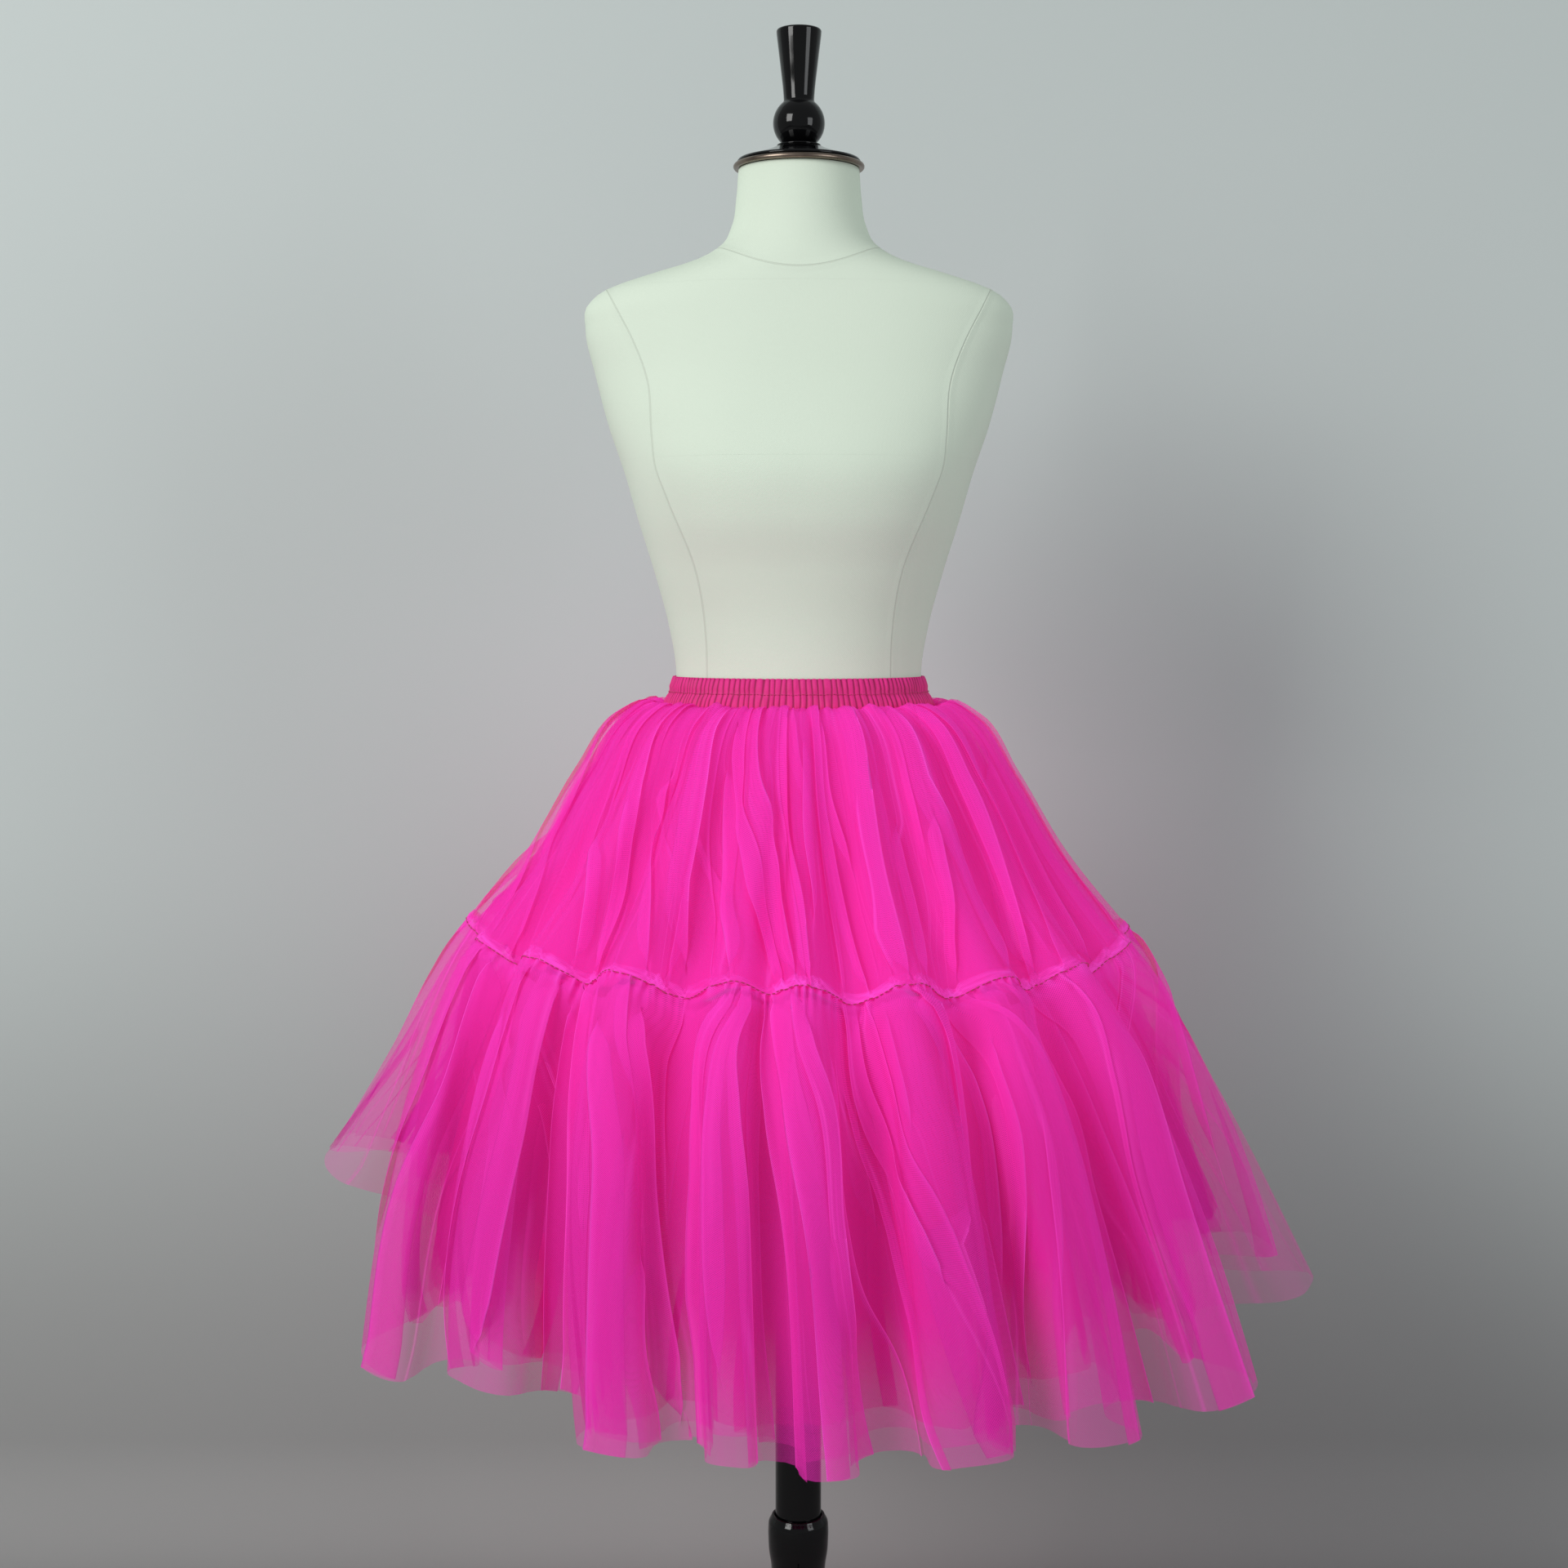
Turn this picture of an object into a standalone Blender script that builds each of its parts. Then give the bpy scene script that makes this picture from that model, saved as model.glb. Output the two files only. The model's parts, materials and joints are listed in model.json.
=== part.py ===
"""A two-tier gathered tulle tutu skirt on a limbless dress form with a turned wooden stand.

Metres, +Z up. The origin is on the floor under the middle of the form, and the front faces -Y.
An azimuth is measured round the form: 0 is the front, and +90 is the side at +X.
"""

from math import atan2, cos, pi, radians, sin, sqrt

import bmesh
import bpy
from mathutils import Vector

# ---------------------------------------------------------------- driving sizes, in metres
SEAM_GAP = 0.0003  # between pieces that meet
WAIST_TOP = 1.060  # top edge of the waistband above the floor

BAND_HEIGHT = 0.031
BAND_WALL = 0.0018
BAND_CLEARANCE = 0.0004  # between the form and the band's top edge
BAND_FLARE = 0.0100  # how much further out the band's lower edge stands
BAND_GATHERS = 76
BAND_GATHER_DEPTH = 0.0012

TULLE_WALL = 0.0015  # the stacked layers of one tier
INNER_WALL = 0.0012
FLUTE_COLUMNS = 8  # steps round one flute
INNER_COLUMNS = 4
SMALL_FOLDS = 2  # small folds on each flute
FULL_FOLD_WIDTH = 0.090  # on a flute narrower than this the small folds are lower
CREST_ROUNDING = 2.4  # above 2, crests are broad and valleys narrow
INNER_ROUNDING = 1.3
HANG_TILT = 0.035  # how much lower than the sides the hem hangs at HANG_AZIMUTH
HANG_AZIMUTH = 25.0
INNER_CLEARANCE = 0.0150  # from a tier to the inner skirt behind it
INNER_TOP = TULLE_WALL + SEAM_GAP  # the same at the waistband, where the layers are sewn together
FULL_CLEARANCE_OUT = 0.05  # distance out of the waist ring at which the clearance is whole

# A row for each section of the skirt, from the waistband down, at the crest of a flute:
#   cloth  length of cloth from the waistband
#   out    distance out of the waist ring
#   fall   distance below the skirt's top edge, negative where the gathers stand up over the band
#   draw   how far the valleys are drawn in, as a share of the flute's width
#   sag    how much lower a point hangs for each unit that it is drawn in
#   fold   height of the small folds
UPPER_SECTIONS = (
    # cloth, out, fall, draw, sag, fold
    (0.000, 0.0000, 0.0000, 0.00, 0.0, 0.0000),
    (0.006, 0.0045, 0.0010, 0.00, 0.0, 0.0004),
    (0.022, 0.0170, -0.0060, 0.05, 0.5, 0.0020),
    (0.050, 0.0450, 0.0060, 0.10, 1.0, 0.0040),
    (0.110, 0.0810, 0.0560, 0.17, 1.0, 0.0070),
    (0.200, 0.1290, 0.1320, 0.22, 0.9, 0.0075),
    (0.290, 0.1890, 0.2030, 0.22, 0.9, 0.0025),
)
LOWER_SECTIONS = (
    (0.290, 0.1890, 0.2030, 0.22, 0.9, 0.0025),
    (0.312, 0.2030, 0.2190, 0.28, 0.8, 0.0055),
    (0.358, 0.2275, 0.2570, 0.35, 0.6, 0.0075),
    (0.446, 0.2675, 0.3360, 0.42, 0.3, 0.0080),
    (0.558, 0.3150, 0.4370, 0.47, 0.1, 0.0080),
    (0.664, 0.3530, 0.5320, 0.50, 0.0, 0.0080),
)
# The under-skirt starts with a short straight drop and then follows the tiers at these lengths of cloth.
INNER_DROP = (0.012, 0.0000, 0.0120, 0.00, 0.0, 0.0000)
INNER_UPPER_CLOTH = (0.110, 0.200, 0.270)
INNER_LOWER_CLOTH = (0.312, 0.446, 0.558, 0.612)

# A row for each flute of the skirt, round from the back on the left:
#   hem    azimuth of its crest at the hem, in degrees
#   seam   azimuth of its crest at the seam between the tiers
#   puff   how far out it stands down to the seam, against the section's own distance
#   reach  the same at the hem
#   lift   how much higher than the section's own height its hem hangs, in metres
#   fold   how deep its small folds are, against the section's own height
FLUTES = (
    # hem, seam, puff, reach, lift, fold
    (-176, -177, 1.00, 1.00, -0.026, 0.9),
    (-160, -160, 0.99, 0.98, -0.020, 1.2),
    (-144, -143, 1.00, 1.00, -0.012, 0.7),
    (-125, -126, 1.01, 0.97, 0.004, 1.1),
    (-104, -107, 1.03, 0.99, 0.030, 0.6),
    (-79, -85, 1.02, 0.90, 0.050, 1.2),
    (-51, -66, 1.02, 0.97, -0.003, 0.8),
    (-37, -50, 1.02, 0.98, 0.020, 1.3),
    (-19, -32, 1.00, 1.00, -0.006, 1.0),
    (-7, -11, 1.00, 1.00, 0.000, 0.8),
    (2, 0, 1.01, 1.02, -0.007, 1.2),
    (17, 19, 1.00, 1.02, 0.004, 0.7),
    (33, 36, 1.00, 1.01, 0.000, 1.1),
    (51, 54, 0.99, 1.01, -0.003, 0.8),
    (77, 76, 0.99, 1.00, 0.024, 1.2),
    (98, 93, 0.99, 0.97, 0.010, 0.9),
    (116, 111, 0.99, 0.99, -0.004, 1.1),
    (134, 130, 1.00, 0.97, -0.014, 0.7),
    (151, 149, 1.00, 1.01, -0.022, 1.2),
    (168, 166, 0.99, 0.99, -0.030, 0.8),
)

# A row for each section of the form, from the neck down. Heights are above the waistband's top edge.
FORM_SECTIONS = (
    # height, half_width, front, back, squareness
    (0.4662, 0.0560, 0.0560, 0.0560, 2.0),
    (0.4400, 0.0580, 0.0590, 0.0590, 2.0),
    (0.4140, 0.0625, 0.0640, 0.0640, 2.0),
    (0.3950, 0.0740, 0.0700, 0.0730, 2.0),
    (0.3810, 0.1000, 0.0745, 0.0810, 2.0),
    (0.3685, 0.1415, 0.0770, 0.0870, 2.1),
    (0.3560, 0.1780, 0.0790, 0.0920, 2.2),
    (0.3420, 0.1955, 0.0815, 0.0960, 2.3),
    (0.3200, 0.1980, 0.0860, 0.1000, 2.35),
    (0.2780, 0.1890, 0.0960, 0.1060, 2.4),
    (0.2300, 0.1765, 0.1110, 0.1080, 2.45),
    (0.1870, 0.1620, 0.1210, 0.1055, 2.45),
    (0.1450, 0.1500, 0.1160, 0.1010, 2.35),
    (0.0960, 0.1350, 0.1000, 0.0930, 2.2),
    (0.0450, 0.1215, 0.0880, 0.0870, 2.05),
    (0.0000, 0.1150, 0.0850, 0.0850, 2.0),
    (-0.0310, 0.1175, 0.0880, 0.0880, 2.0),
    (-0.0800, 0.1370, 0.1030, 0.1090, 2.1),
    (-0.1500, 0.1570, 0.1150, 0.1270, 2.2),
    (-0.2200, 0.1640, 0.1180, 0.1310, 2.2),
    (-0.2900, 0.1600, 0.1130, 0.1240, 2.2),
    (-0.3200, 0.1520, 0.1050, 0.1150, 2.1),
)
FORM_COLUMNS = 36

POLE_RADIUS = 0.0221
POLE_FOOT = 0.080
POST_TOP = 0.249
BORE_CLEARANCE = 0.0005
BORE_FLOOR = 0.026
TURNED_STEPS = 20

LEG_COUNT = 3
LEG_FIRST_AZIMUTH = 0.0
# A row for each section of a leg: distance from the axis, height, half width, half thickness.
LEG_SECTIONS = (
    # reach, height, half_width, half_thickness
    (0.0353, 0.1120, 0.0110, 0.0220),
    (0.0560, 0.1200, 0.0110, 0.0195),
    (0.0850, 0.1190, 0.0110, 0.0165),
    (0.1150, 0.1060, 0.0108, 0.0145),
    (0.1450, 0.0830, 0.0105, 0.0130),
    (0.1720, 0.0570, 0.0105, 0.0120),
    (0.1980, 0.0290, 0.0110, 0.0115),
    (0.2270, 0.0112, 0.0125, 0.0115),
    (0.2500, 0.0110, 0.0145, 0.0125),
)
LEG_SIDES = 8
LEG_SQUARING = 1.08  # above 1, the flats of a leg's section are a little broader than its corners' cuts
TOE_REACH = 0.268
TOE_HEIGHT = 0.0065
TOE_SHARE = 0.62  # size of the toe's end against the section before it

# ---------------------------------------------------------------- finishes
# Each finish: colour, roughness, metallic.
FINISHES = {
    "tulle": ((1.0, 0.09, 0.50), 0.75, 0.0),
    "tulle_inner": ((0.86, 0.05, 0.34), 0.80, 0.0),
    "waistband": ((0.62, 0.04, 0.22), 0.55, 0.0),
    "form_jersey": ((0.80, 0.83, 0.76), 0.90, 0.0),
    "black_lacquer": ((0.012, 0.012, 0.014), 0.18, 0.0),
    "bronze": ((0.20, 0.15, 0.12), 0.32, 1.0),
}


def material(name):
    colour, roughness, metallic = FINISHES[name]
    made = bpy.data.materials.get(name) or bpy.data.materials.new(name)
    made.use_nodes = True
    shader = made.node_tree.nodes["Principled BSDF"]
    shader.inputs["Base Color"].default_value = (*colour, 1.0)
    shader.inputs["Roughness"].default_value = roughness
    shader.inputs["Metallic"].default_value = metallic
    return made


def clear_scene():
    for obj in list(bpy.data.objects):
        bpy.data.objects.remove(obj, do_unlink=True)


def new_object(name, mesh, finish, collection):
    mesh.materials.append(material(finish))
    obj = bpy.data.objects.new(name, mesh)
    collection.objects.link(obj)
    return obj


def smooth_shaded(mesh, angle=40.0):
    mesh.shade_smooth()
    mesh.set_sharp_from_angle(angle=radians(angle))


# ---------------------------------------------------------------- rings and walls
def on_ring(azimuth, radius, height):
    """The point at this azimuth (radians), distance from the axis and height."""
    return Vector((radius * sin(azimuth), -radius * cos(azimuth), height))


def ellipse_radius(azimuth, half_width, half_depth):
    across = half_depth * sin(azimuth)
    along = half_width * cos(azimuth)
    return half_width * half_depth / sqrt(across * across + along * along)


def wall_between(name, outer, inner, finish, collection):
    """A closed ring-shaped wall: outer and inner are rows of points, top to bottom, each row once round."""
    work = bmesh.new()
    outer_rows = [[work.verts.new(point) for point in row] for row in outer]
    inner_rows = [[work.verts.new(point) for point in row] for row in inner]
    loop = outer_rows + inner_rows[::-1]
    for upper, lower in zip(loop, loop[1:] + loop[:1]):
        for k in range(len(upper)):
            after = (k + 1) % len(upper)
            work.faces.new((upper[k], lower[k], lower[after], upper[after]))
    bmesh.ops.triangulate(work, faces=work.faces[:], quad_method="SHORT_EDGE")
    bmesh.ops.recalc_face_normals(work, faces=work.faces[:])
    mesh = bpy.data.meshes.new(name)
    work.to_mesh(mesh)
    work.free()
    smooth_shaded(mesh, 60.0)
    return new_object(name, mesh, finish, collection)


# ---------------------------------------------------------------- the form
def form_section(height):
    """Half width, front depth, back depth and squareness of the form at this height over the waist."""
    for upper, lower in zip(FORM_SECTIONS, FORM_SECTIONS[1:]):
        if height >= lower[0]:
            share = (upper[0] - height) / (upper[0] - lower[0])
            return [a + (b - a) * share for a, b in zip(upper[1:], lower[1:])]
    return list(FORM_SECTIONS[-1][1:])


def form_point(turn, section):
    """A point on a superellipse whose front and back depths differ."""
    _, half_width, front, back, squareness = section
    power = 2.0 / squareness
    side, ahead = sin(turn), cos(turn)
    x = half_width * abs(side) ** power * (1 if side >= 0 else -1)
    depth = front if ahead >= 0 else back
    y = -depth * abs(ahead) ** power * (1 if ahead >= 0 else -1)
    return Vector((x, y, WAIST_TOP + section[0]))


def make_form_body(collection):
    """The limbless body of the form: stacked sections, closed flat at the neck and underneath."""
    work = bmesh.new()
    rows = []
    for section in FORM_SECTIONS:
        turns = [2 * pi * k / FORM_COLUMNS for k in range(FORM_COLUMNS)]
        rows.append([work.verts.new(form_point(turn, section)) for turn in turns])
    for upper, lower in zip(rows, rows[1:]):
        for k in range(FORM_COLUMNS):
            after = (k + 1) % FORM_COLUMNS
            work.faces.new((upper[k], lower[k], lower[after], upper[after]))
    work.faces.new(rows[0])
    work.faces.new(rows[-1])
    bmesh.ops.recalc_face_normals(work, faces=work.faces[:])
    mesh = bpy.data.meshes.new("form_body")
    work.to_mesh(mesh)
    work.free()
    smooth_shaded(mesh)
    return new_object("form_body", mesh, "form_jersey", collection)


# ---------------------------------------------------------------- the waistband
def band_ring(share):
    """Half width and half depth of the band's inner face, from 0 at its top to 1 at its lower edge."""
    half_width, front, _, _ = form_section(0.0)
    out = BAND_CLEARANCE + BAND_FLARE * share
    return half_width + out, front + out


def skirt_ring():
    """Half width and half depth of the ring that the skirt hangs from, the band's outer face."""
    half_width, half_depth = band_ring(1.0)
    return half_width + BAND_WALL, half_depth + BAND_WALL


def make_waistband(collection):
    """Gathers raised on the outside of a plain elastic band; a stitched line pinches them at half height."""
    columns = 2 * BAND_GATHERS
    azimuths = [2 * pi * k / columns for k in range(columns)]
    outer, inner = [], []
    # share of the height, height of the gathers against BAND_GATHER_DEPTH
    for share, gather in ((0.0, 0.7), (0.5, 0.35), (1.0, 1.0)):
        half_width, half_depth = band_ring(share)
        height = WAIST_TOP - BAND_HEIGHT * share
        row = []
        for k, azimuth in enumerate(azimuths):
            raised = BAND_GATHER_DEPTH * gather * (k % 2)
            radius = ellipse_radius(azimuth, half_width, half_depth) + BAND_WALL + raised
            row.append(on_ring(azimuth, radius, height))
        outer.append(row)
    for share in (0.0, 1.0):
        half_width, half_depth = band_ring(share)
        height = WAIST_TOP - BAND_HEIGHT * share
        inner.append([on_ring(a, ellipse_radius(a, half_width, half_depth), height) for a in azimuths])
    return wall_between("waistband", outer, inner, "waistband", collection)


# ---------------------------------------------------------------- the skirt
def eased(share):
    return share * share * (3 - 2 * share)


def section_at(cloth):
    """The skirt's section at this length of cloth below the waistband."""
    sections = UPPER_SECTIONS + LOWER_SECTIONS[1:]
    for before, after in zip(sections, sections[1:]):
        if cloth <= after[0]:
            share = (cloth - before[0]) / (after[0] - before[0])
            return tuple(a + (b - a) * share for a, b in zip(before, after))
    return sections[-1]


def skirt_point(index, part, section, rounding=CREST_ROUNDING, inside=0.0, folded=1.0):
    """A point of the skirt: on flute number index, part of the way to the next crest, on this section.

    inside moves it in towards the form, and folded scales its small folds.
    """
    cloth, out, fall, draw, sag, fold = section
    seam_cloth, hem_cloth = UPPER_SECTIONS[-1][0], LOWER_SECTIONS[-1][0]
    lap = 360 if index == len(FLUTES) - 1 else 0
    here, following = FLUTES[index], FLUTES[(index + 1) % len(FLUTES)]
    hem, seam, puff, reach, lift, depth = here
    next_hem, next_seam, next_puff, next_reach, next_lift, _ = following
    down = max(0.0, (cloth - seam_cloth) / (hem_cloth - seam_cloth))
    start = seam + (hem - seam) * down
    end = next_seam + (next_hem - next_seam) * down + lap
    azimuth = radians(start + (end - start) * part)
    ring = ellipse_radius(azimuth, *skirt_ring())

    share = eased(part)
    above = puff + (next_puff - puff) * share
    below = reach + (next_reach - reach) * share
    crest = out * (above + (below - above) * down)
    width = radians(end - start) * (ring + crest)
    drawn_in = draw * width * sin(pi * part) ** rounding
    height = fold * depth * folded * min(1.0, width / FULL_FOLD_WIDTH)
    small = height * sin(2 * pi * SMALL_FOLDS * part)
    distance = crest - drawn_in + small
    if inside:
        distance -= INNER_TOP + (inside - INNER_TOP) * min(1.0, out / FULL_CLEARANCE_OUT)
    drop = fall + (crest - distance) * sag
    drop += HANG_TILT * (cloth / hem_cloth) * cos(azimuth - radians(HANG_AZIMUTH))
    drop -= (lift + (next_lift - lift) * share) * down * down
    if cloth == 0.0:
        drop = 0.0
    return on_ring(azimuth, ring + distance, WAIST_TOP - BAND_HEIGHT - SEAM_GAP - drop)


def skirt_rows(sections, columns, **shape):
    rows = []
    for section in sections:
        row = []
        for index in range(len(FLUTES)):
            row += [skirt_point(index, k / columns, section, **shape) for k in range(columns)]
        rows.append(row)
    return rows


def inward_normals(rows):
    """For each point of a grid of rows, the direction out of the cloth on its inner side."""
    normals = []
    last = len(rows) - 1
    for i, row in enumerate(rows):
        line = []
        for k in range(len(row)):
            down = rows[min(i + 1, last)][k] - rows[max(i - 1, 0)][k]
            around = row[(k + 1) % len(row)] - row[k - 1]
            line.append(around.cross(down).normalized())
        normals.append(line)
    return normals


def level_normals(row):
    """Inward directions that stay in the row's own plane, for an edge that lies flat."""
    line = []
    for k in range(len(row)):
        around = row[(k + 1) % len(row)] - row[k - 1]
        line.append(Vector((-around.y, around.x, 0.0)).normalized())
    return line


def thickened(rows, normals, wall):
    return [[point + way * wall for point, way in zip(*pair)] for pair in zip(rows, normals)]


def make_tiers(collection):
    """The two outer tiers share one set of columns, so that their edges at the seam run side by side."""
    sections = UPPER_SECTIONS + LOWER_SECTIONS[1:]
    rows = skirt_rows(sections, FLUTE_COLUMNS)
    normals = inward_normals(rows)
    normals[0] = level_normals(rows[0])
    normals[1] = [(a + b).normalized() for a, b in zip(normals[0], normals[1])]
    seam = len(UPPER_SECTIONS) - 1

    upper = rows[: seam + 1]
    wall_between(
        "upper_tier", upper, thickened(upper, normals[: seam + 1], TULLE_WALL), "tulle", collection
    )

    below = [
        point + (after - point).normalized() * SEAM_GAP
        for point, after in zip(rows[seam], rows[seam + 1])
    ]
    lower = [below] + rows[seam + 1 :]
    wall_between(
        "lower_tier", lower, thickened(lower, normals[seam:], TULLE_WALL), "tulle", collection
    )


def make_inner_tiers(collection):
    """The shorter under-skirt, which shows at the hem and through the net."""
    sections = [UPPER_SECTIONS[0], INNER_DROP]
    sections += [section_at(cloth) for cloth in INNER_UPPER_CLOTH + INNER_LOWER_CLOTH]
    shape = {"rounding": INNER_ROUNDING, "inside": INNER_CLEARANCE, "folded": 0.0}
    rows = skirt_rows(sections, INNER_COLUMNS, **shape)
    normals = inward_normals(rows)
    normals[0] = level_normals(rows[0])
    seam = 1 + len(INNER_UPPER_CLOTH)

    upper = rows[: seam + 1]
    wall_between(
        "inner_upper_tier",
        upper,
        thickened(upper, normals[: seam + 1], INNER_WALL),
        "tulle_inner",
        collection,
    )

    below = [
        point + (after - point).normalized() * SEAM_GAP
        for point, after in zip(rows[seam], rows[seam + 1])
    ]
    lower = [below] + rows[seam + 1 :]
    wall_between(
        "inner_lower_tier",
        lower,
        thickened(lower, normals[seam:], INNER_WALL),
        "tulle_inner",
        collection,
    )


# ---------------------------------------------------------------- turned pieces
def turned(name, profile, finish, collection, steps=TURNED_STEPS):
    """A turned solid: profile is (radius, height) points down its outer side, from axis to axis."""
    work = bmesh.new()
    points = [work.verts.new((radius, 0.0, height)) for radius, height in profile]
    for above, below in zip(points, points[1:]):
        work.edges.new((above, below))
    mesh = bpy.data.meshes.new(name)
    work.to_mesh(mesh)
    work.free()
    obj = new_object(name, mesh, finish, collection)
    screw = obj.modifiers.new("turn", "SCREW")
    screw.axis = "Z"
    screw.steps = screw.render_steps = steps
    screw.use_merge_vertices = True
    screw.merge_threshold = 0.00001
    screw.use_smooth_shade = True
    return obj


def arc(centre_radius, centre_height, size, first, last, count):
    """Points on an arc of a profile; 90 degrees is up and 0 is outwards."""
    found = []
    for k in range(count + 1):
        angle = radians(first + (last - first) * k / count)
        found.append((centre_radius + size * cos(angle), centre_height + size * sin(angle)))
    return found


CAP_BOTTOM = WAIST_TOP + 0.4665
CAP_RADIUS = 0.0607
CAP_LIP = 0.0050  # thickness of the metal lip under the cap
CAP_HEIGHT = 0.0150
CAP_SEAT_RADIUS = 0.0225  # flat on top of the cap, where the finial stands
FINIAL_HEIGHT = 0.1064
BALL_RADIUS = 0.0240


def make_cap_and_finial(collection):
    bottom = CAP_BOTTOM
    top = bottom + CAP_LIP
    lip = [(0.0, top), (CAP_RADIUS - 0.003, top)]
    lip += arc(CAP_RADIUS - 0.0025, bottom + 0.0025, 0.0025, 60, -90, 4)
    lip += [(0.0, bottom)]
    turned("cap_lip", lip, "bronze", collection)

    bottom = top + SEAM_GAP
    seat = bottom + CAP_HEIGHT
    rim = CAP_RADIUS - 0.0035
    dome = [(0.0, seat), (CAP_SEAT_RADIUS, seat)]
    for share in (0.25, 0.5, 0.75):
        # a hollow curve that turns over at the rim
        radius = CAP_SEAT_RADIUS + (rim - CAP_SEAT_RADIUS) * share
        dome.append((radius, seat - (CAP_HEIGHT - 0.003) * share**0.8))
    dome += [(rim, bottom + 0.0022), (rim, bottom), (0.0, bottom)]
    turned("neck_cap", dome, "black_lacquer", collection)

    foot = seat + SEAM_GAP
    top = foot + FINIAL_HEIGHT
    ball = foot + 0.0215
    profile = [(0.0, top), (0.0185, top), (0.0208, top - 0.0025), (0.0205, top - 0.0060)]
    profile += [(0.0172, top - 0.0330), (0.0143, top - 0.0600), (0.0141, top - 0.0640)]
    profile += arc(0.0, ball, BALL_RADIUS, 48, -52, 8)
    profile += [(0.0180, foot + 0.0022), (0.0210, foot + 0.0010), (0.0210, foot), (0.0, foot)]
    turned("finial", profile, "black_lacquer", collection)


def make_pole(collection):
    top = WAIST_TOP + FORM_SECTIONS[-1][0] - SEAM_GAP
    mesh = bpy.data.meshes.new("pole")
    work = bmesh.new()
    bmesh.ops.create_cone(
        work,
        cap_ends=True,
        segments=TURNED_STEPS,
        radius1=POLE_RADIUS,
        radius2=POLE_RADIUS,
        depth=top - POLE_FOOT,
    )
    work.to_mesh(mesh)
    work.free()
    smooth_shaded(mesh)
    obj = new_object("pole", mesh, "black_lacquer", collection)
    obj.location = (0.0, 0.0, (top + POLE_FOOT) / 2)
    return obj


def make_post(collection):
    """The turned post: a sleeve with a blind bore that the pole slides in, and a hub for the legs."""
    bore = POLE_RADIUS + BORE_CLEARANCE
    profile = [(0.0, BORE_FLOOR), (bore, BORE_FLOOR), (bore, POST_TOP), (0.0250, POST_TOP)]
    profile += arc(0.0228, POST_TOP - 0.0085, 0.0065, 70, -20, 4)
    profile += [(0.0282, 0.2310), (0.0293, 0.2250), (0.0290, 0.2150), (0.0262, 0.1980)]
    profile += [(0.0258, 0.1850), (0.0290, 0.1680), (0.0345, 0.1560), (0.0350, 0.1500)]
    profile += [(0.0350, 0.0700), (0.0330, 0.0620), (0.0270, 0.0500), (0.0262, 0.0420)]
    profile += [(0.0285, 0.0340), (0.0270, 0.0250), (0.0200, 0.0190), (0.0, 0.0170)]
    turned("post", profile, "black_lacquer", collection)


def make_leg(number, azimuth, collection):
    """One sweeping leg: eight-sided sections down an arch, from the post's hub to a foot flat on the floor."""
    work = bmesh.new()
    turns = [2 * pi * (k + 0.5) / LEG_SIDES for k in range(LEG_SIDES)]
    sections = []
    for i, (reach, height, half_width, half_thick) in enumerate(LEG_SECTIONS):
        before, after = LEG_SECTIONS[max(i - 1, 0)], LEG_SECTIONS[min(i + 1, len(LEG_SECTIONS) - 1)]
        slope = atan2(after[1] - before[1], after[0] - before[0])
        if i in (0, len(LEG_SECTIONS) - 1):
            slope = 0.0
        ring = []
        for turn in turns:
            side = half_width * max(-1.0, min(1.0, LEG_SQUARING * cos(turn)))
            rise = half_thick * max(-1.0, min(1.0, LEG_SQUARING * sin(turn)))
            point = Vector((side, -(reach - rise * sin(slope)), height + rise * cos(slope)))
            point.z = max(point.z, 0.0)
            ring.append(work.verts.new(point))
        sections.append(ring)
    _, _, half_width, half_thick = LEG_SECTIONS[-1]
    toe = []
    for turn in turns:
        height = max(0.0, TOE_HEIGHT + TOE_SHARE * half_thick * sin(turn))
        toe.append(work.verts.new((TOE_SHARE * half_width * cos(turn), -TOE_REACH, height)))
    sections.append(toe)
    for first, second in zip(sections, sections[1:]):
        for k in range(LEG_SIDES):
            after = (k + 1) % LEG_SIDES
            work.faces.new((first[k], first[after], second[after], second[k]))
    work.faces.new(sections[0])
    work.faces.new(toe[::-1])
    bmesh.ops.recalc_face_normals(work, faces=work.faces[:])
    mesh = bpy.data.meshes.new(f"leg_{number}")
    work.to_mesh(mesh)
    work.free()
    smooth_shaded(mesh, 50.0)
    obj = new_object(f"leg_{number}", mesh, "black_lacquer", collection)
    obj.rotation_euler = (0.0, 0.0, azimuth)
    return obj


def main():
    clear_scene()
    collection = bpy.data.collections.new("tulle_tutu_on_form")
    bpy.context.scene.collection.children.link(collection)
    make_form_body(collection)
    make_waistband(collection)
    make_tiers(collection)
    make_inner_tiers(collection)
    make_cap_and_finial(collection)
    make_pole(collection)
    make_post(collection)
    for number in range(LEG_COUNT):
        azimuth = radians(LEG_FIRST_AZIMUTH + 360.0 * number / LEG_COUNT)
        make_leg(number + 1, azimuth, collection)


main()
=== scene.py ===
"""Looks of a two-tier gathered tulle tutu skirt on a limbless dress form with a turned stand.

Metres, +Z up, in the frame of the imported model. The front faces -Y. An azimuth is measured round
the form in degrees: 0 is the front, and +90 is the side at +X. Cloth is measured down from the band.
"""

import json
from functools import reduce
from math import cos, pi, radians, sin
from typing import NamedTuple

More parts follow.
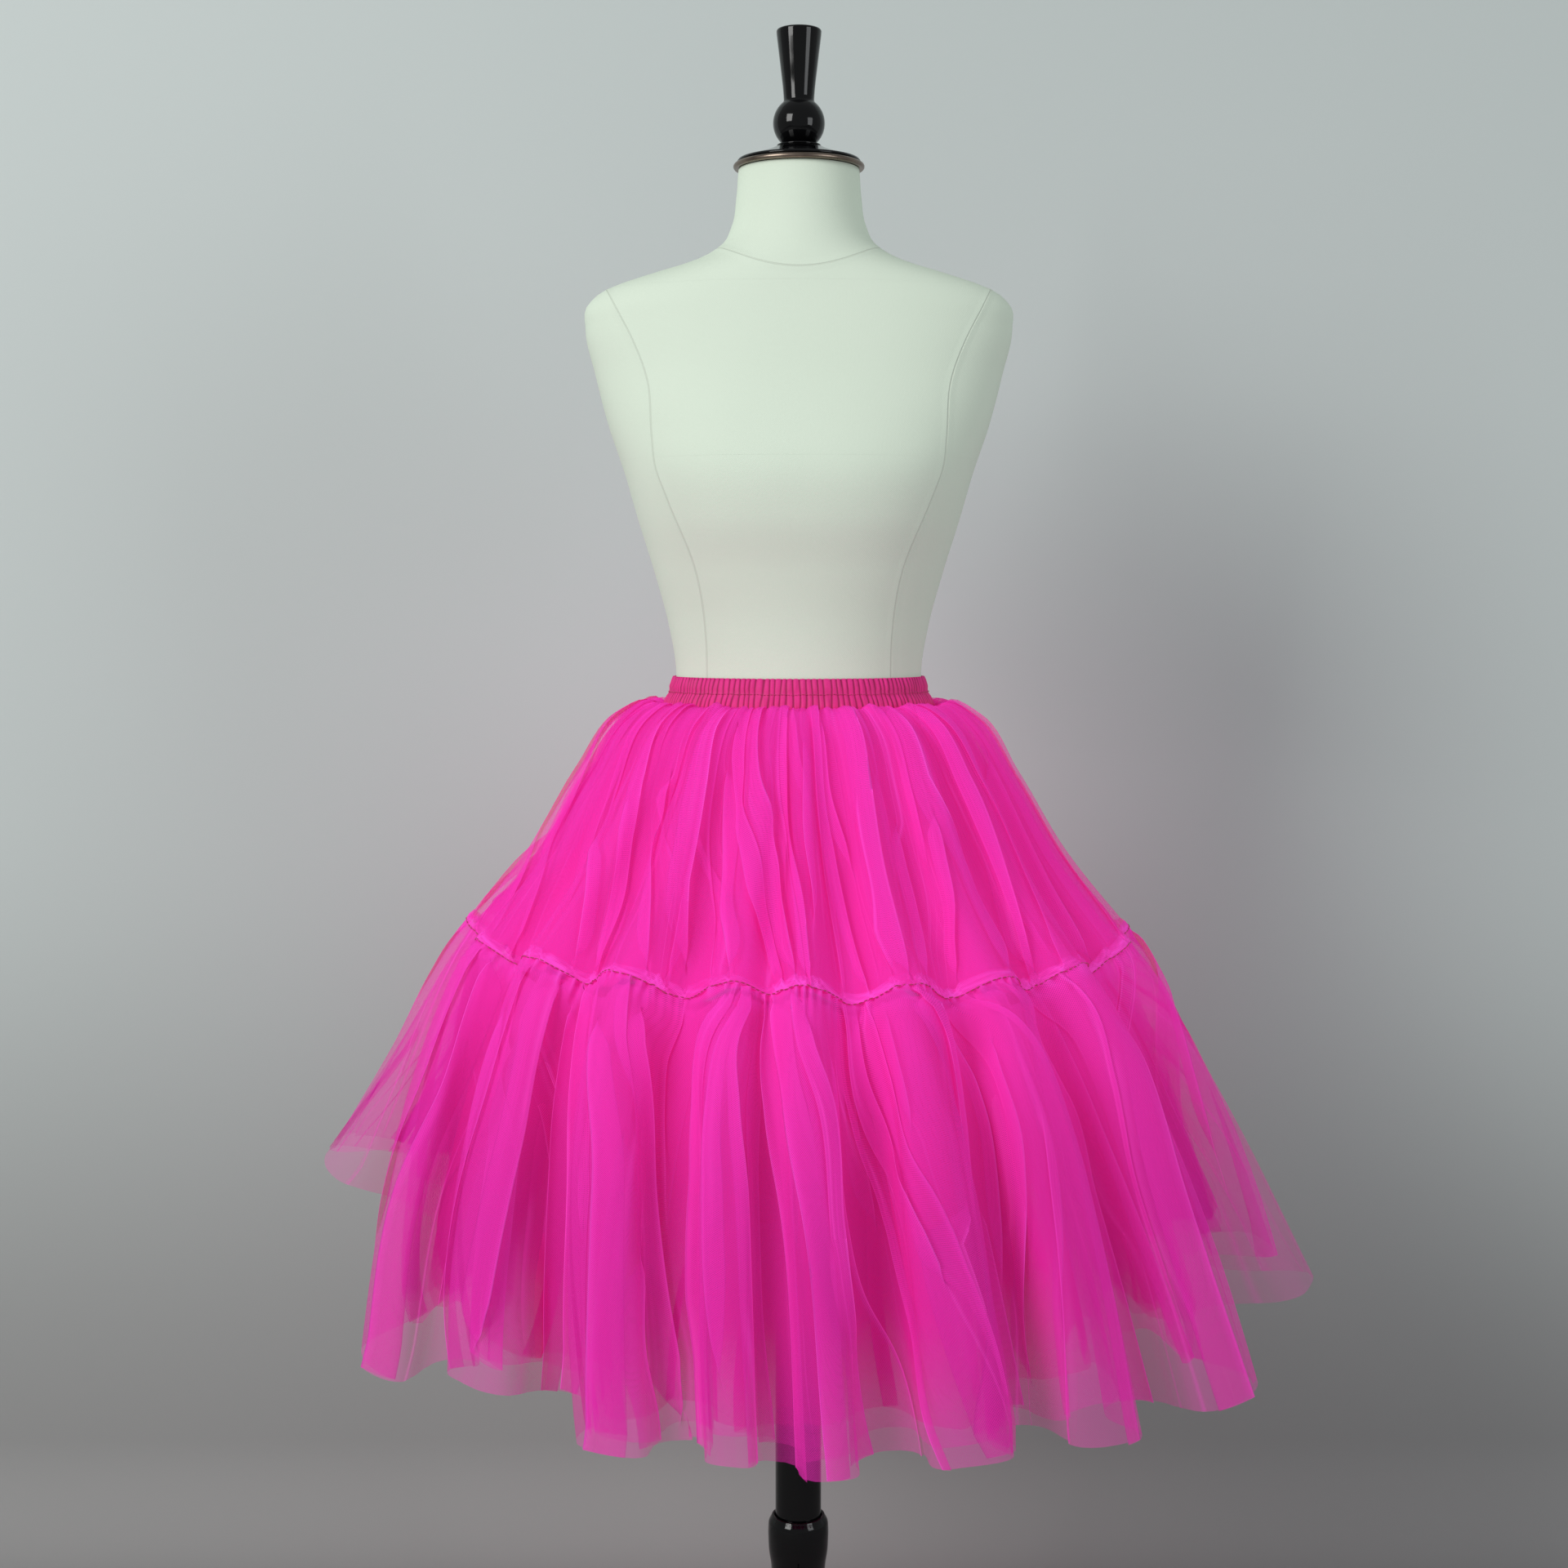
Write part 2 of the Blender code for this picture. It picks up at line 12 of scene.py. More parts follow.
import bmesh
import bpy
import numpy as np
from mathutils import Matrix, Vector

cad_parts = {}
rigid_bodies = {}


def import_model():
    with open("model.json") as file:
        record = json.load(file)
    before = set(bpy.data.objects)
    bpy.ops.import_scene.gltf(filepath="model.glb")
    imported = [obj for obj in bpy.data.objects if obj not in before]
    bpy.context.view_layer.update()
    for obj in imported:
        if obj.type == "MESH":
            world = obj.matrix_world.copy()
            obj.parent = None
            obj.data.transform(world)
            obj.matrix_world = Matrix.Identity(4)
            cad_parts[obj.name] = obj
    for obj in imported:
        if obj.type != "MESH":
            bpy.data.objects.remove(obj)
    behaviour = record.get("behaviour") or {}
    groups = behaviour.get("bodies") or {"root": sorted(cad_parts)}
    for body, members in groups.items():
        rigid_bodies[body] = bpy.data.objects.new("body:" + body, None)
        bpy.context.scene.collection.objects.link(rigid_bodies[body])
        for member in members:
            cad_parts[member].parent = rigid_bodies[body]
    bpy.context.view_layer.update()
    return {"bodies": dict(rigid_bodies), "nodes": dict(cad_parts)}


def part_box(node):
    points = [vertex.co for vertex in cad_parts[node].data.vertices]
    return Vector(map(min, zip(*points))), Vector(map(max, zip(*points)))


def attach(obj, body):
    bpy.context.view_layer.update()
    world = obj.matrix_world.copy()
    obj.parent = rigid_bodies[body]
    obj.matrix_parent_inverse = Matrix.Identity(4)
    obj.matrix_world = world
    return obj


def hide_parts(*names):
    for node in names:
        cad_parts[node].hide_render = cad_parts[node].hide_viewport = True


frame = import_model()

# ---------------------------------------------------------------- sizes
WAIST_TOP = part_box("waistband")[1].z
BAND_HEIGHT = 0.031
BAND_WALL = 0.0018
BAND_CLEARANCE = 0.0004
BAND_FLARE = 0.0100
WAIST_HALF_WIDTH, WAIST_HALF_DEPTH = 0.1150, 0.0850
SEAM_GAP = 0.0003
RING_HALF_WIDTH = WAIST_HALF_WIDTH + BAND_CLEARANCE + BAND_FLARE + BAND_WALL
RING_HALF_DEPTH = WAIST_HALF_DEPTH + BAND_CLEARANCE + BAND_FLARE + BAND_WALL
SKIRT_TOP = WAIST_TOP - BAND_HEIGHT - SEAM_GAP

SEAM_CLOTH = 0.290  # cloth from the band to the seam between the tiers
HEM_CLOTH = 0.664  # cloth from the band to the hem
HANG_TILT = 0.035
HANG_AZIMUTH = 25.0
CREST_ROUNDING = 2.4
INNER_ROUNDING = 1.6
LAYERS_TOGETHER = 0.0018  # between layers where they are sewn together
FULL_CLEARANCE_OUT = 0.05  # distance out from the band at which layers inside hang fully clear
DEEP_INSIDE = 0.014  # a layer this far inside has rounder flutes
UPPER_CURL = 0.55  # share of the flutes' curl in the middle of the upper tier
LOWER_CURL_DOWN = 0.45  # share of the lower tier over which the curl grows
FLARE_AT_SEAM = 0.35  # share of a flare's distance at the seam between the tiers
FLARE_BEGINS = 0.15  # cloth over which a flare begins

NET_CELL = 0.0016
NET_SHARE = 0.30  # share of a single net that is thread
GLOW_SHARES = (0.62, 0.40, 0.35)  # shares of the net's colour with which it glows: a painted glow for light the nets pass on
GLOW_BEHIND = (0.28, 0.40, 0.38)  # the same behind its folds, dimmer as painted shade

# A row for each section of the skirt, from the waistband down, at the crest of a flute.
SECTIONS = (
    # cloth, out, fall, draw, sag
    (0.000, 0.0000, 0.0000, 0.00, 0.0),
    (0.006, 0.0045, 0.0010, 0.00, 0.0),
    (0.022, 0.0170, -0.0060, 0.05, 0.5),
    (0.050, 0.0450, 0.0060, 0.10, 1.0),
    (0.110, 0.0810, 0.0560, 0.17, 1.0),
    (0.200, 0.1290, 0.1320, 0.22, 0.9),
    (0.290, 0.1890, 0.2030, 0.22, 0.9),
    (0.312, 0.2030, 0.2190, 0.28, 0.8),
    (0.358, 0.2275, 0.2570, 0.35, 0.6),
    (0.446, 0.2675, 0.3360, 0.42, 0.3),
    (0.558, 0.3150, 0.4370, 0.47, 0.1),
    (0.664, 0.3530, 0.5320, 0.50, 0.0),
)

# A row for each flute, round from the back on the left. curl and lean are shares of its width:
# how far its sides fold back under its crest, and how far its crest leans towards +azimuth.
FLUTES = (
    # hem, seam, puff, reach, lift, curl, lean
    (-176, -177, 1.00, 1.00, -0.026, 0.11, 0.02),
    (-160, -160, 0.99, 0.98, -0.020, 0.13, -0.03),
    (-144, -143, 1.00, 1.00, -0.012, 0.09, 0.03),
    (-125, -126, 0.99, 0.97, 0.016, 0.13, -0.02),
    (-104, -107, 0.985, 1.00, 0.070, 0.07, 0.02),
    (-79, -85, 0.975, 0.90, 0.112, 0.12, 0.03),
    (-51, -66, 1.02, 0.97, -0.003, 0.13, -0.04),
    (-37, -50, 1.02, 0.98, 0.020, 0.10, 0.04),
    (-19, -32, 1.00, 1.00, -0.006, 0.12, 0.03),
    (-7, -11, 1.00, 1.00, 0.000, 0.13, -0.05),
    (2, 0, 1.01, 1.02, -0.007, 0.09, -0.03),
    (17, 19, 1.00, 1.02, 0.004, 0.14, 0.05),
    (33, 36, 1.00, 1.01, 0.000, 0.10, 0.03),
    (51, 54, 0.99, 1.01, -0.003, 0.12, 0.02),
    (77, 76, 0.99, 1.01, 0.034, 0.09, -0.03),
    (98, 93, 0.99, 0.97, 0.010, 0.12, 0.02),
    (116, 111, 0.99, 0.99, -0.004, 0.08, 0.03),
    (134, 130, 1.00, 0.97, -0.014, 0.13, -0.02),
    (151, 149, 1.00, 1.01, -0.022, 0.10, 0.03),
    (168, 166, 0.99, 0.99, -0.030, 0.12, -0.03),
)

# Creases listed one by one: where each starts and ends, how high it stands, how far it is pushed over
# towards +azimuth, and places along its edge as pairs of cloth and azimuth.
UPPER_CREASES = (
    # from, to, height, lap, edge
    (0.16, 0.292, 0.005, -0.012, ((0.18, -51.8), (0.22, -48.0), (0.26, -45.0))),
    (0.12, 0.292, 0.006, -0.016, ((0.16, -47.8), (0.196, -45.4), (0.273, -40.8))),
    (0.09, 0.292, 0.006, 0.014, ((0.113, -40.4), (0.159, -35.5), (0.194, -33.0), (0.277, -27.6))),
    (0.19, 0.292, 0.005, -0.010, ((0.213, -26.8), (0.259, -25.4), (0.284, -25.0))),
    (0.02, 0.270, 0.008, 0.020, ((0.052, -29.0), (0.10, -29.6), (0.15, -28.6), (0.186, -27.0), (0.25, -22.8))),
    (0.08, 0.292, 0.007, -0.014, ((0.106, -22.6), (0.171, -20.0), (0.196, -18.6), (0.242, -14.2),
                                  (0.284, -12.2))),
    (0.04, 0.292, 0.006, -0.012, ((0.077, -22.2), (0.111, -19.6), (0.159, -14.0), (0.211, -10.8),
                                  (0.269, -5.2))),
    (0.01, 0.292, 0.009, 0.020, ((0.03, -14.2), (0.117, -9.8), (0.148, -6.8), (0.211, -2.6), (0.28, -0.6))),
    (0.06, 0.240, 0.006, -0.012, ((0.092, 0.6), (0.148, 0.4), (0.213, 2.0))),
    (0.03, 0.190, 0.005, 0.010, ((0.067, 8.8), (0.102, 9.2), (0.152, 11.8))),
    (0.11, 0.292, 0.005, -0.010, ((0.144, 16.2), (0.209, 16.2), (0.261, 13.9))),
    (0.01, 0.292, 0.009, 0.022, ((0.05, 20.4), (0.131, 19.3), (0.277, 19.0))),
    (0.13, 0.292, 0.006, 0.012, ((0.165, 27.0), (0.213, 26.6), (0.25, 23.8))),
    (0.13, 0.292, 0.006, 0.012, ((0.169, 35.4), (0.217, 33.8), (0.248, 31.4), (0.275, 29.8))),
    (0.02, 0.292, 0.008, 0.020, ((0.06, 36.0), (0.134, 38.6), (0.182, 42.0), (0.234, 42.6), (0.286, 38.0))),
    (0.02, 0.292, 0.008, 0.018, ((0.05, 52.2), (0.138, 52.8), (0.209, 51.0), (0.263, 48.2))),
    (0.08, 0.292, 0.007, 0.018, ((0.12, 70.2), (0.198, 70.0), (0.271, 68.4))),
)
UPPER_BACK_CREASES = (
    # from, to, height, lap, edge
    (0.20, 0.292, 0.006, -0.012, ((0.229, -42.6), (0.265, -40.8))),
    (0.13, 0.240, 0.006, 0.012, ((0.152, -28.0), (0.165, -24.0), (0.184, -19.8), (0.217, -14.6))),
    (0.02, 0.110, 0.005, -0.010, ((0.04, -18.4), (0.071, -20.0), (0.092, -17.4))),
    (0.05, 0.210, 0.006, 0.012, ((0.073, -5.4), (0.119, -2.8), (0.188, -3.2))),
    (0.08, 0.200, 0.006, 0.012, ((0.106, 25.6), (0.161, 25.6), (0.177, 26.2))),
    (0.07, 0.190, 0.006, 0.012, ((0.096, 34.6), (0.159, 33.2))),
)
LOWER_CREASES = (
    # from, to, height, lap, edge
    (0.292, 0.720, 0.007, 0.014, ((0.30, -74.0), (0.62, -66.0))),
    (0.292, 0.720, 0.009, -0.020, ((0.32, -61.8), (0.416, -58.8), (0.516, -57.0), (0.64, -52.6))),
    (0.292, 0.640, 0.008, 0.018, ((0.32, -44.0), (0.441, -41.4), (0.589, -37.8))),
    (0.310, 0.720, 0.009, -0.016, ((0.336, -42.0), (0.408, -39.6), (0.489, -36.6), (0.629, -32.2))),
    (0.330, 0.720, 0.008, -0.016, ((0.357, -31.2), (0.441, -27.0), (0.50, -25.0), (0.648, -20.6))),
    (0.310, 0.660, 0.009, 0.016, ((0.347, -25.4), (0.416, -21.2), (0.478, -18.8), (0.60, -14.4))),
    (0.292, 0.720, 0.011, -0.028, ((0.31, -12.8), (0.338, -16.0), (0.392, -17.6), (0.462, -16.8),
                                   (0.66, -12.6))),
    (0.285, 0.720, 0.009, -0.018, ((0.295, -4.8), (0.333, -4.0), (0.392, -1.6), (0.454, 0.0), (0.648, 2.0))),
    (0.310, 0.720, 0.009, 0.018, ((0.344, 1.6), (0.379, 3.0), (0.478, 3.4), (0.543, 4.6), (0.586, 6.6),
                                  (0.659, 8.6))),
    (0.292, 0.540, 0.007, 0.012, ((0.312, 10.4), (0.36, 11.0), (0.416, 13.4), (0.457, 15.6), (0.489, 16.6))),
    (0.280, 0.720, 0.012, 0.032, ((0.29, 20.0), (0.312, 23.0), (0.349, 25.5), (0.392, 26.0), (0.449, 25.4),
                                  (0.546, 23.4), (0.656, 20.5))),
    (0.285, 0.720, 0.010, 0.020, ((0.295, 38.0), (0.333, 43.6), (0.387, 46.0), (0.481, 45.4), (0.664, 45.0))),
    (0.285, 0.720, 0.009, 0.018, ((0.30, 62.0), (0.379, 56.0), (0.449, 53.8), (0.551, 52.4), (0.64, 52.0))),
)
LOWER_BACK_CREASES = (
    # from, to, height, lap, edge
    (0.310, 0.520, 0.007, -0.012, ((0.331, -41.0), (0.38, -36.0), (0.429, -31.0), (0.468, -28.2))),
    (0.420, 0.720, 0.008, -0.014, ((0.45, -25.8), (0.537, -23.8), (0.622, -21.8))),
    (0.510, 0.720, 0.008, 0.014, ((0.542, -20.6), (0.586, -19.4), (0.638, -16.8))),
    (0.310, 0.520, 0.008, -0.014, ((0.347, -11.4), (0.383, -12.4), (0.47, -11.6))),
    (0.300, 0.600, 0.008, -0.014, ((0.339, -0.2), (0.385, 1.2), (0.452, 2.0), (0.514, 3.6))),
    (0.292, 0.500, 0.007, 0.012, ((0.305, 7.8), (0.357, 8.8), (0.45, 10.2))),
    (0.292, 0.420, 0.007, 0.012, ((0.305, 15.4), (0.372, 16.6))),
    (0.470, 0.720, 0.010, 0.022, ((0.493, 19.4), (0.532, 16.8), (0.558, 15.0), (0.599, 11.6), (0.638, 9.6))),
    (0.480, 0.720, 0.008, 0.014, ((0.514, 27.2), (0.622, 27.4))),
    (0.330, 0.640, 0.009, 0.016, ((0.36, 33.0), (0.421, 33.2), (0.465, 32.4), (0.566, 29.4))),
    (0.292, 0.560, 0.008, 0.014, ((0.30, 46.4), (0.465, 46.4))),
)

# Where the outermost net flares away from the others, how far at the hem, and how much shorter the
# others are cut there. Where the distance is 0 they are only cut shorter.
SIDE_FLARES = (
    # azimuth, breadth, distance, shorter
    (-99.0, 36.0, 0.088, 0.020),
    (82.0, 29.0, 0.056, 0.075),
    (-50.0, 17.0, 0.0, 0.036),
    (47.0, 17.0, 0.0, 0.048),
)

# A row for each section of the form, from the neck down. Heights are above the waistband's top edge.
FORM_SECTIONS = (
    # height, half_width, front, back, squareness
    (0.4662, 0.0560, 0.0560, 0.0560, 2.0),
    (0.4400, 0.0580, 0.0590, 0.0590, 2.0),
    (0.4140, 0.0625, 0.0640, 0.0640, 2.0),
    (0.3950, 0.0740, 0.0700, 0.0730, 2.0),
    (0.3810, 0.1000, 0.0745, 0.0810, 2.0),
    (0.3685, 0.1415, 0.0770, 0.0870, 2.1),
    (0.3560, 0.1780, 0.0790, 0.0920, 2.2),
    (0.3420, 0.1955, 0.0815, 0.0960, 2.3),
    (0.3200, 0.1980, 0.0860, 0.1000, 2.35),
    (0.2780, 0.1890, 0.0960, 0.1060, 2.4),
    (0.2300, 0.1765, 0.1110, 0.1080, 2.45),
    (0.1870, 0.1620, 0.1210, 0.1055, 2.45),
    (0.1450, 0.1500, 0.1160, 0.1010, 2.35),
    (0.0960, 0.1350, 0.1000, 0.0930, 2.2),
    (0.0450, 0.1215, 0.0880, 0.0870, 2.05),
    (0.0000, 0.1150, 0.0850, 0.0850, 2.0),
    (-0.0310, 0.1175, 0.0880, 0.0880, 2.0),
    (-0.0800, 0.1370, 0.1030, 0.1090, 2.1),
    (-0.1500, 0.1570, 0.1150, 0.1270, 2.2),
    (-0.2200, 0.1640, 0.1180, 0.1310, 2.2),
    (-0.2900, 0.1600, 0.1130, 0.1240, 2.2),
    (-0.3200, 0.1520, 0.1050, 0.1150, 2.1),
)
FORM_ROWS = 150
FORM_COLUMNS = 160
# Half distance between the two curved front seams at a height over the waist.
FRONT_SEAMS = (
    # height, half_distance
    (0.3600, 0.1800),
    (0.3516, 0.1752),
    (0.3340, 0.1662),
    (0.3070, 0.1520),
    (0.2680, 0.1370),
    (0.2155, 0.1324),
    (0.1890, 0.1295),
    (0.1590, 0.1186),
    (0.0964, 0.0938),
    (0.0340, 0.0848),
    (0.0000, 0.0842),
    (-0.1500, 0.0950),
    (-0.3200, 0.1000),
)
# Heights of the neck seam over the waist.
NECK_SEAM_FRONT, NECK_SEAM_SIDE, NECK_SEAM_BACK = 0.368, 0.393, 0.400
NECK_SEAM_HALF = 0.075  # half the width of the neck seam
SIDE_SEAM_AT = 0.004  # how far behind the middle the side seams run
SIDE_SEAM_TOP = 0.20

POLE_RADIUS = 0.0221
TURNED_STEPS = 96


def clear_startup_objects():
    kept = set(frame["nodes"].values()) | set(frame["bodies"].values())
    for obj in list(bpy.data.objects):
        if obj not in kept:
            bpy.data.objects.remove(obj, do_unlink=True)


# ---------------------------------------------------------------- small mathematics on arrays
def columns_of(table):
    return [np.array(column, float) for column in zip(*table)]


def smooth_curve(at, values, where):
    """Values between the rows of a table, on a smooth curve through them. at runs upwards."""
    slopes = np.gradient(values, at)
    k = np.clip(np.searchsorted(at, where, side="right") - 1, 0, len(at) - 2)
    step = at[k + 1] - at[k]
    t = (where - at[k]) / step
    square, cube = t * t, t * t * t
    held = (2 * cube - 3 * square + 1) * values[k] + (3 * square - 2 * cube) * values[k + 1]
    bent = (cube - 2 * square + t) * slopes[k] + (cube - square) * slopes[k + 1]
    return held + step * bent


def eased(share):
    share = np.clip(share, 0.0, 1.0)
    return share * share * (3 - 2 * share)


def unit(vectors):
    return vectors / np.maximum(np.linalg.norm(vectors, axis=-1, keepdims=True), 1e-12)


def on_ring(azimuth, radius, height):
    return np.stack([radius * np.sin(azimuth), -radius * np.cos(azimuth), height], axis=-1)


def ellipse_radius(azimuth, half_width, half_depth):
    return half_width * half_depth / np.hypot(half_depth * np.sin(azimuth), half_width * np.cos(azimuth))


def squared(wave, squareness):
    """A sine or cosine for a section that is squarer the higher its squareness; at 2 it is an ellipse."""
    return np.abs(wave) ** (2.0 / squareness) * np.sign(wave)


def arc_along(points):
    """Arc length of each point along its row, and each row's whole length."""
    steps = np.linalg.norm(np.roll(points, -1, axis=1) - points, axis=-1)
    total = steps.sum(axis=1)
    return np.cumsum(steps, axis=1) - steps, total


def wandering(azimuth, waves, random):
    """A periodic curve of several waves of random size and phase, about -1 to 1."""
    value = np.zeros_like(azimuth)
    for wave in waves:
        value += random.uniform(0.5, 1.0) * np.sin(wave * azimuth + random.uniform(0, 2 * pi))
    return value / len(waves) ** 0.5


# ---------------------------------------------------------------- meshes
def link(name, mesh, material):
    mesh.materials.clear()
    mesh.materials.append(material)
    obj = bpy.data.objects.new(name, mesh)
    bpy.context.scene.collection.objects.link(obj)
    return obj


def ring_mesh(name, points, u=None, v=None):
    """A sheet of rows round the form, top to bottom, facing out. u and v are its cloth coordinates."""
    rows, columns = points.shape[:2]
    index = np.arange(rows * columns).reshape(rows, columns)
    after = np.roll(index, -1, axis=1)
    faces = np.stack([index[:-1], index[1:], after[1:], after[:-1]], axis=-1).reshape(-1, 4)
    mesh = bpy.data.meshes.new(name)
    mesh.from_pydata(points.reshape(-1, 3).tolist(), [], faces.tolist())
    if u is not None:
        grid_u = np.broadcast_to(u, (rows, columns + 1))
        grid_v = np.concatenate([v, v[:, :1]], axis=1)
        grid = np.stack([grid_u, grid_v], axis=-1)
        corners = [grid[:-1, :-1], grid[1:, :-1], grid[1:, 1:], grid[:-1, 1:]]
        layer = mesh.uv_layers.new(name="cloth")
        layer.data.foreach_set("uv", np.stack(corners, axis=2).astype(np.float32).ravel())
    mesh.shade_smooth()
    return mesh


def set_attribute(mesh, name, values):
    stored = mesh.attributes.new(name, "FLOAT", "POINT")
    stored.data.foreach_set("value", values.astype(np.float32).ravel())


def close_mesh(mesh, rims=(), merge=False):
    """Closes a mesh over its rims, which are lists of point numbers, and makes its faces point out."""
    work = bmesh.new()
    work.from_mesh(mesh)
    work.verts.ensure_lookup_table()
    for rim in rims:
        work.faces.new([work.verts[k] for k in rim])
    if merge:
        bmesh.ops.remove_doubles(work, verts=work.verts, dist=1e-6)
    bmesh.ops.recalc_face_normals(work, faces=work.faces)
    work.to_mesh(mesh)
    work.free()


# ---------------------------------------------------------------- nodes
class Number:
    """A number in a node tree. Arithmetic with it adds math nodes."""

    def __init__(self, tree, socket):
        self.tree, self.socket = tree, socket

    def __add__(self, other):
        return calc(self.tree, "ADD", self, other)

    def __sub__(self, other):
        return calc(self.tree, "SUBTRACT", self, other)

    def __rsub__(self, other):
        return calc(self.tree, "SUBTRACT", other, self)

    def __mul__(self, other):
        return calc(self.tree, "MULTIPLY", self, other)

    def __truediv__(self, other):
        return calc(self.tree, "DIVIDE", self, other)

    def __abs__(self):
        return calc(self.tree, "ABSOLUTE", self)


def place(tree, kind, inputs=None, **settings):
    """A new node. inputs gives its sockets, by name or number, a value or another node's output."""
    node = tree.nodes.new(kind)
    for name, value in settings.items():
        setattr(node, name, value)
    for name, value in (inputs or {}).items():
        feed(tree, value, node.inputs[name])
    return node


def feed(tree, value, socket):
    if isinstance(value, Number):
        value = value.socket
    if isinstance(value, bpy.types.NodeSocket):
        tree.links.new(value, socket)
    else:
        socket.default_value = value


def numbers(tree, sockets):
    """The named sockets of a node, as numbers."""
    return {socket.name: Number(tree, socket) for socket in sockets if socket.name}


def calc(tree, operation, *values, clamp=False):
    node = place(tree, "ShaderNodeMath", operation=operation, use_clamp=clamp)
    for socket, value in zip(node.inputs, values):
        feed(tree, value, socket)
    return Number(tree, node.outputs[0])


def ramped(tree, value, low, high, to_low=0.0, to_high=1.0):
    """value, softly stepped from to_low at low to to_high at high."""
    inputs = {"Value": value, "From Min": low, "From Max": high, "To Min": to_low, "To Max": to_high}
    node = place(tree, "ShaderNodeMapRange", inputs, interpolation_type="SMOOTHSTEP")
    return Number(tree, node.outputs["Result"])


def blended(tree, share, first, second):
    """A colour between first and second, each three values or another node's output."""
    node = place(tree, "ShaderNodeMix", data_type="RGBA")
    for number, value in ((0, share), (6, first), (7, second)):
        feed(tree, (*value, 1.0) if isinstance(value, tuple) else value, node.inputs[number])
    return node.outputs[2]


def split(tree, vector):
    parts = place(tree, "ShaderNodeSeparateXYZ", {"Vector": vector}).outputs
    return [Number(tree, parts[axis]) for axis in "XYZ"]


def joined(tree, x, y, z):
    return place(tree, "ShaderNodeCombineXYZ", {"X": x, "Y": y, "Z": z}).outputs["Vector"]


def noise(tree, where, scale=1.0, detail=1.0):
    inputs = {"Vector": where, "Scale": scale, "Detail": detail}
    return Number(tree, place(tree, "ShaderNodeTexNoise", inputs, noise_dimensions="3D").outputs["Fac"])


def attribute(tree, name):
    return Number(tree, place(tree, "ShaderNodeAttribute", attribute_name=name).outputs["Fac"])


def new_group(name, kind, inputs, outputs):
    """A node group; inputs and outputs are (name, socket type) or (name, socket type, value)."""
    tree = bpy.data.node_groups.new(name, kind)
    for label, socket_type, *value in inputs:
        socket = tree.interface.new_socket(name=label, in_out="INPUT", socket_type=socket_type)
        if value:
            socket.default_value = value[0]
    for label, socket_type in outputs:
        tree.interface.new_socket(name=label, in_out="OUTPUT", socket_type=socket_type)
    given = numbers(tree, place(tree, "NodeGroupInput").outputs)
    return tree, given, place(tree, "NodeGroupOutput").inputs


def use_group(tree, group, **inputs):
    return numbers(tree, place(tree, "ShaderNodeGroup", inputs, node_tree=group).outputs)


def after(tree, kind, geometry, inputs=None, **settings):
    """What a geometry node makes of geometry."""
    return place(tree, kind, {"Geometry": geometry, **(inputs or {})}, **settings).outputs["Geometry"]


FLOAT, VECTOR, GEOMETRY = "NodeSocketFloat", "NodeSocketVector", "NodeSocketGeometry"


# ---------------------------------------------------------------- materials
def make_net_cells():
    """Two families of slanting threads that cross: Thread is 1 on a thread and 0 in a hole."""
    inputs = [("Vector", VECTOR), ("Cell", FLOAT, NET_CELL)]
    tree, given, ends = new_group("net_cells", "ShaderNodeTree", inputs, [("Thread", FLOAT)])
    x, y, _ = split(tree, given["Vector"])
    found = [calc(tree, "PINGPONG", slanted, given["Cell"] * 0.5) for slanted in (x + y, x - y)]
    nearest = calc(tree, "MINIMUM", *found) / given["Cell"]
    feed(tree, calc(tree, "MULTIPLY_ADD", nearest, -5.0, 1.3, clamp=True), ends["Thread"])
    return tree


def make_mottle():
    """Uneven patches: Patch wanders round 0.5."""
    inputs = [("Vector", VECTOR), ("Scale", FLOAT, 20.0), ("Detail", FLOAT, 2.0)]
    tree, given, ends = new_group("mottle", "ShaderNodeTree", inputs, [("Patch", FLOAT)])
    feed(tree, noise(tree, given["Vector"], given["Scale"], given["Detail"]), ends["Patch"])
    return tree


def make_woven_cloth():
    """Fine crossing yarns on object coordinates: Height for a bump, Yarn for colour and roughness."""
    inputs = [("Vector", VECTOR), ("Pitch", FLOAT, 0.001), ("Uneven", FLOAT, 0.3)]
    outputs = [("Height", FLOAT), ("Yarn", FLOAT)]
    tree, given, ends = new_group("woven_cloth", "ShaderNodeTree", inputs, outputs)
    x, y, z = split(tree, given["Vector"])
    radius = calc(tree, "SQRT", x * x + y * y)
    across = calc(tree, "ARCTAN2", x, y) * calc(tree, "SNAP", radius, 0.02)
    rows, stitches = (calc(tree, "SINE", way / given["Pitch"] * (2 * pi)) for way in (z, across))
    crossed = rows * stitches
    loose = noise(tree, given["Vector"], 400.0) * given["Uneven"]
    feed(tree, crossed * 0.35 + 0.5 + loose, ends["Height"])
    feed(tree, crossed * 0.5 + 0.5, ends["Yarn"])
    return tree


def new_material(name, colour, roughness, **sockets):
    """A material with a Principled BSDF, whose sockets are named with _ for a space."""
    made = bpy.data.materials.new(name)
    made.use_nodes = True
    tree = made.node_tree
    shader = tree.nodes["Principled BSDF"]
    shader.inputs["Base Color"].default_value = (*colour, 1.0)
    shader.inputs["Roughness"].default_value = roughness
    for label, value in sockets.items():
        shader.inputs[label.replace("_", " ")].default_value = value
    return made, tree, shader.inputs


def bumped(tree, height, strength, distance):
    inputs = {"Height": height, "Strength": strength, "Distance": distance}
    return place(tree, "ShaderNodeBump", inputs).outputs["Normal"]


def object_place(tree):
    return place(tree, "ShaderNodeTexCoord").outputs["Object"]


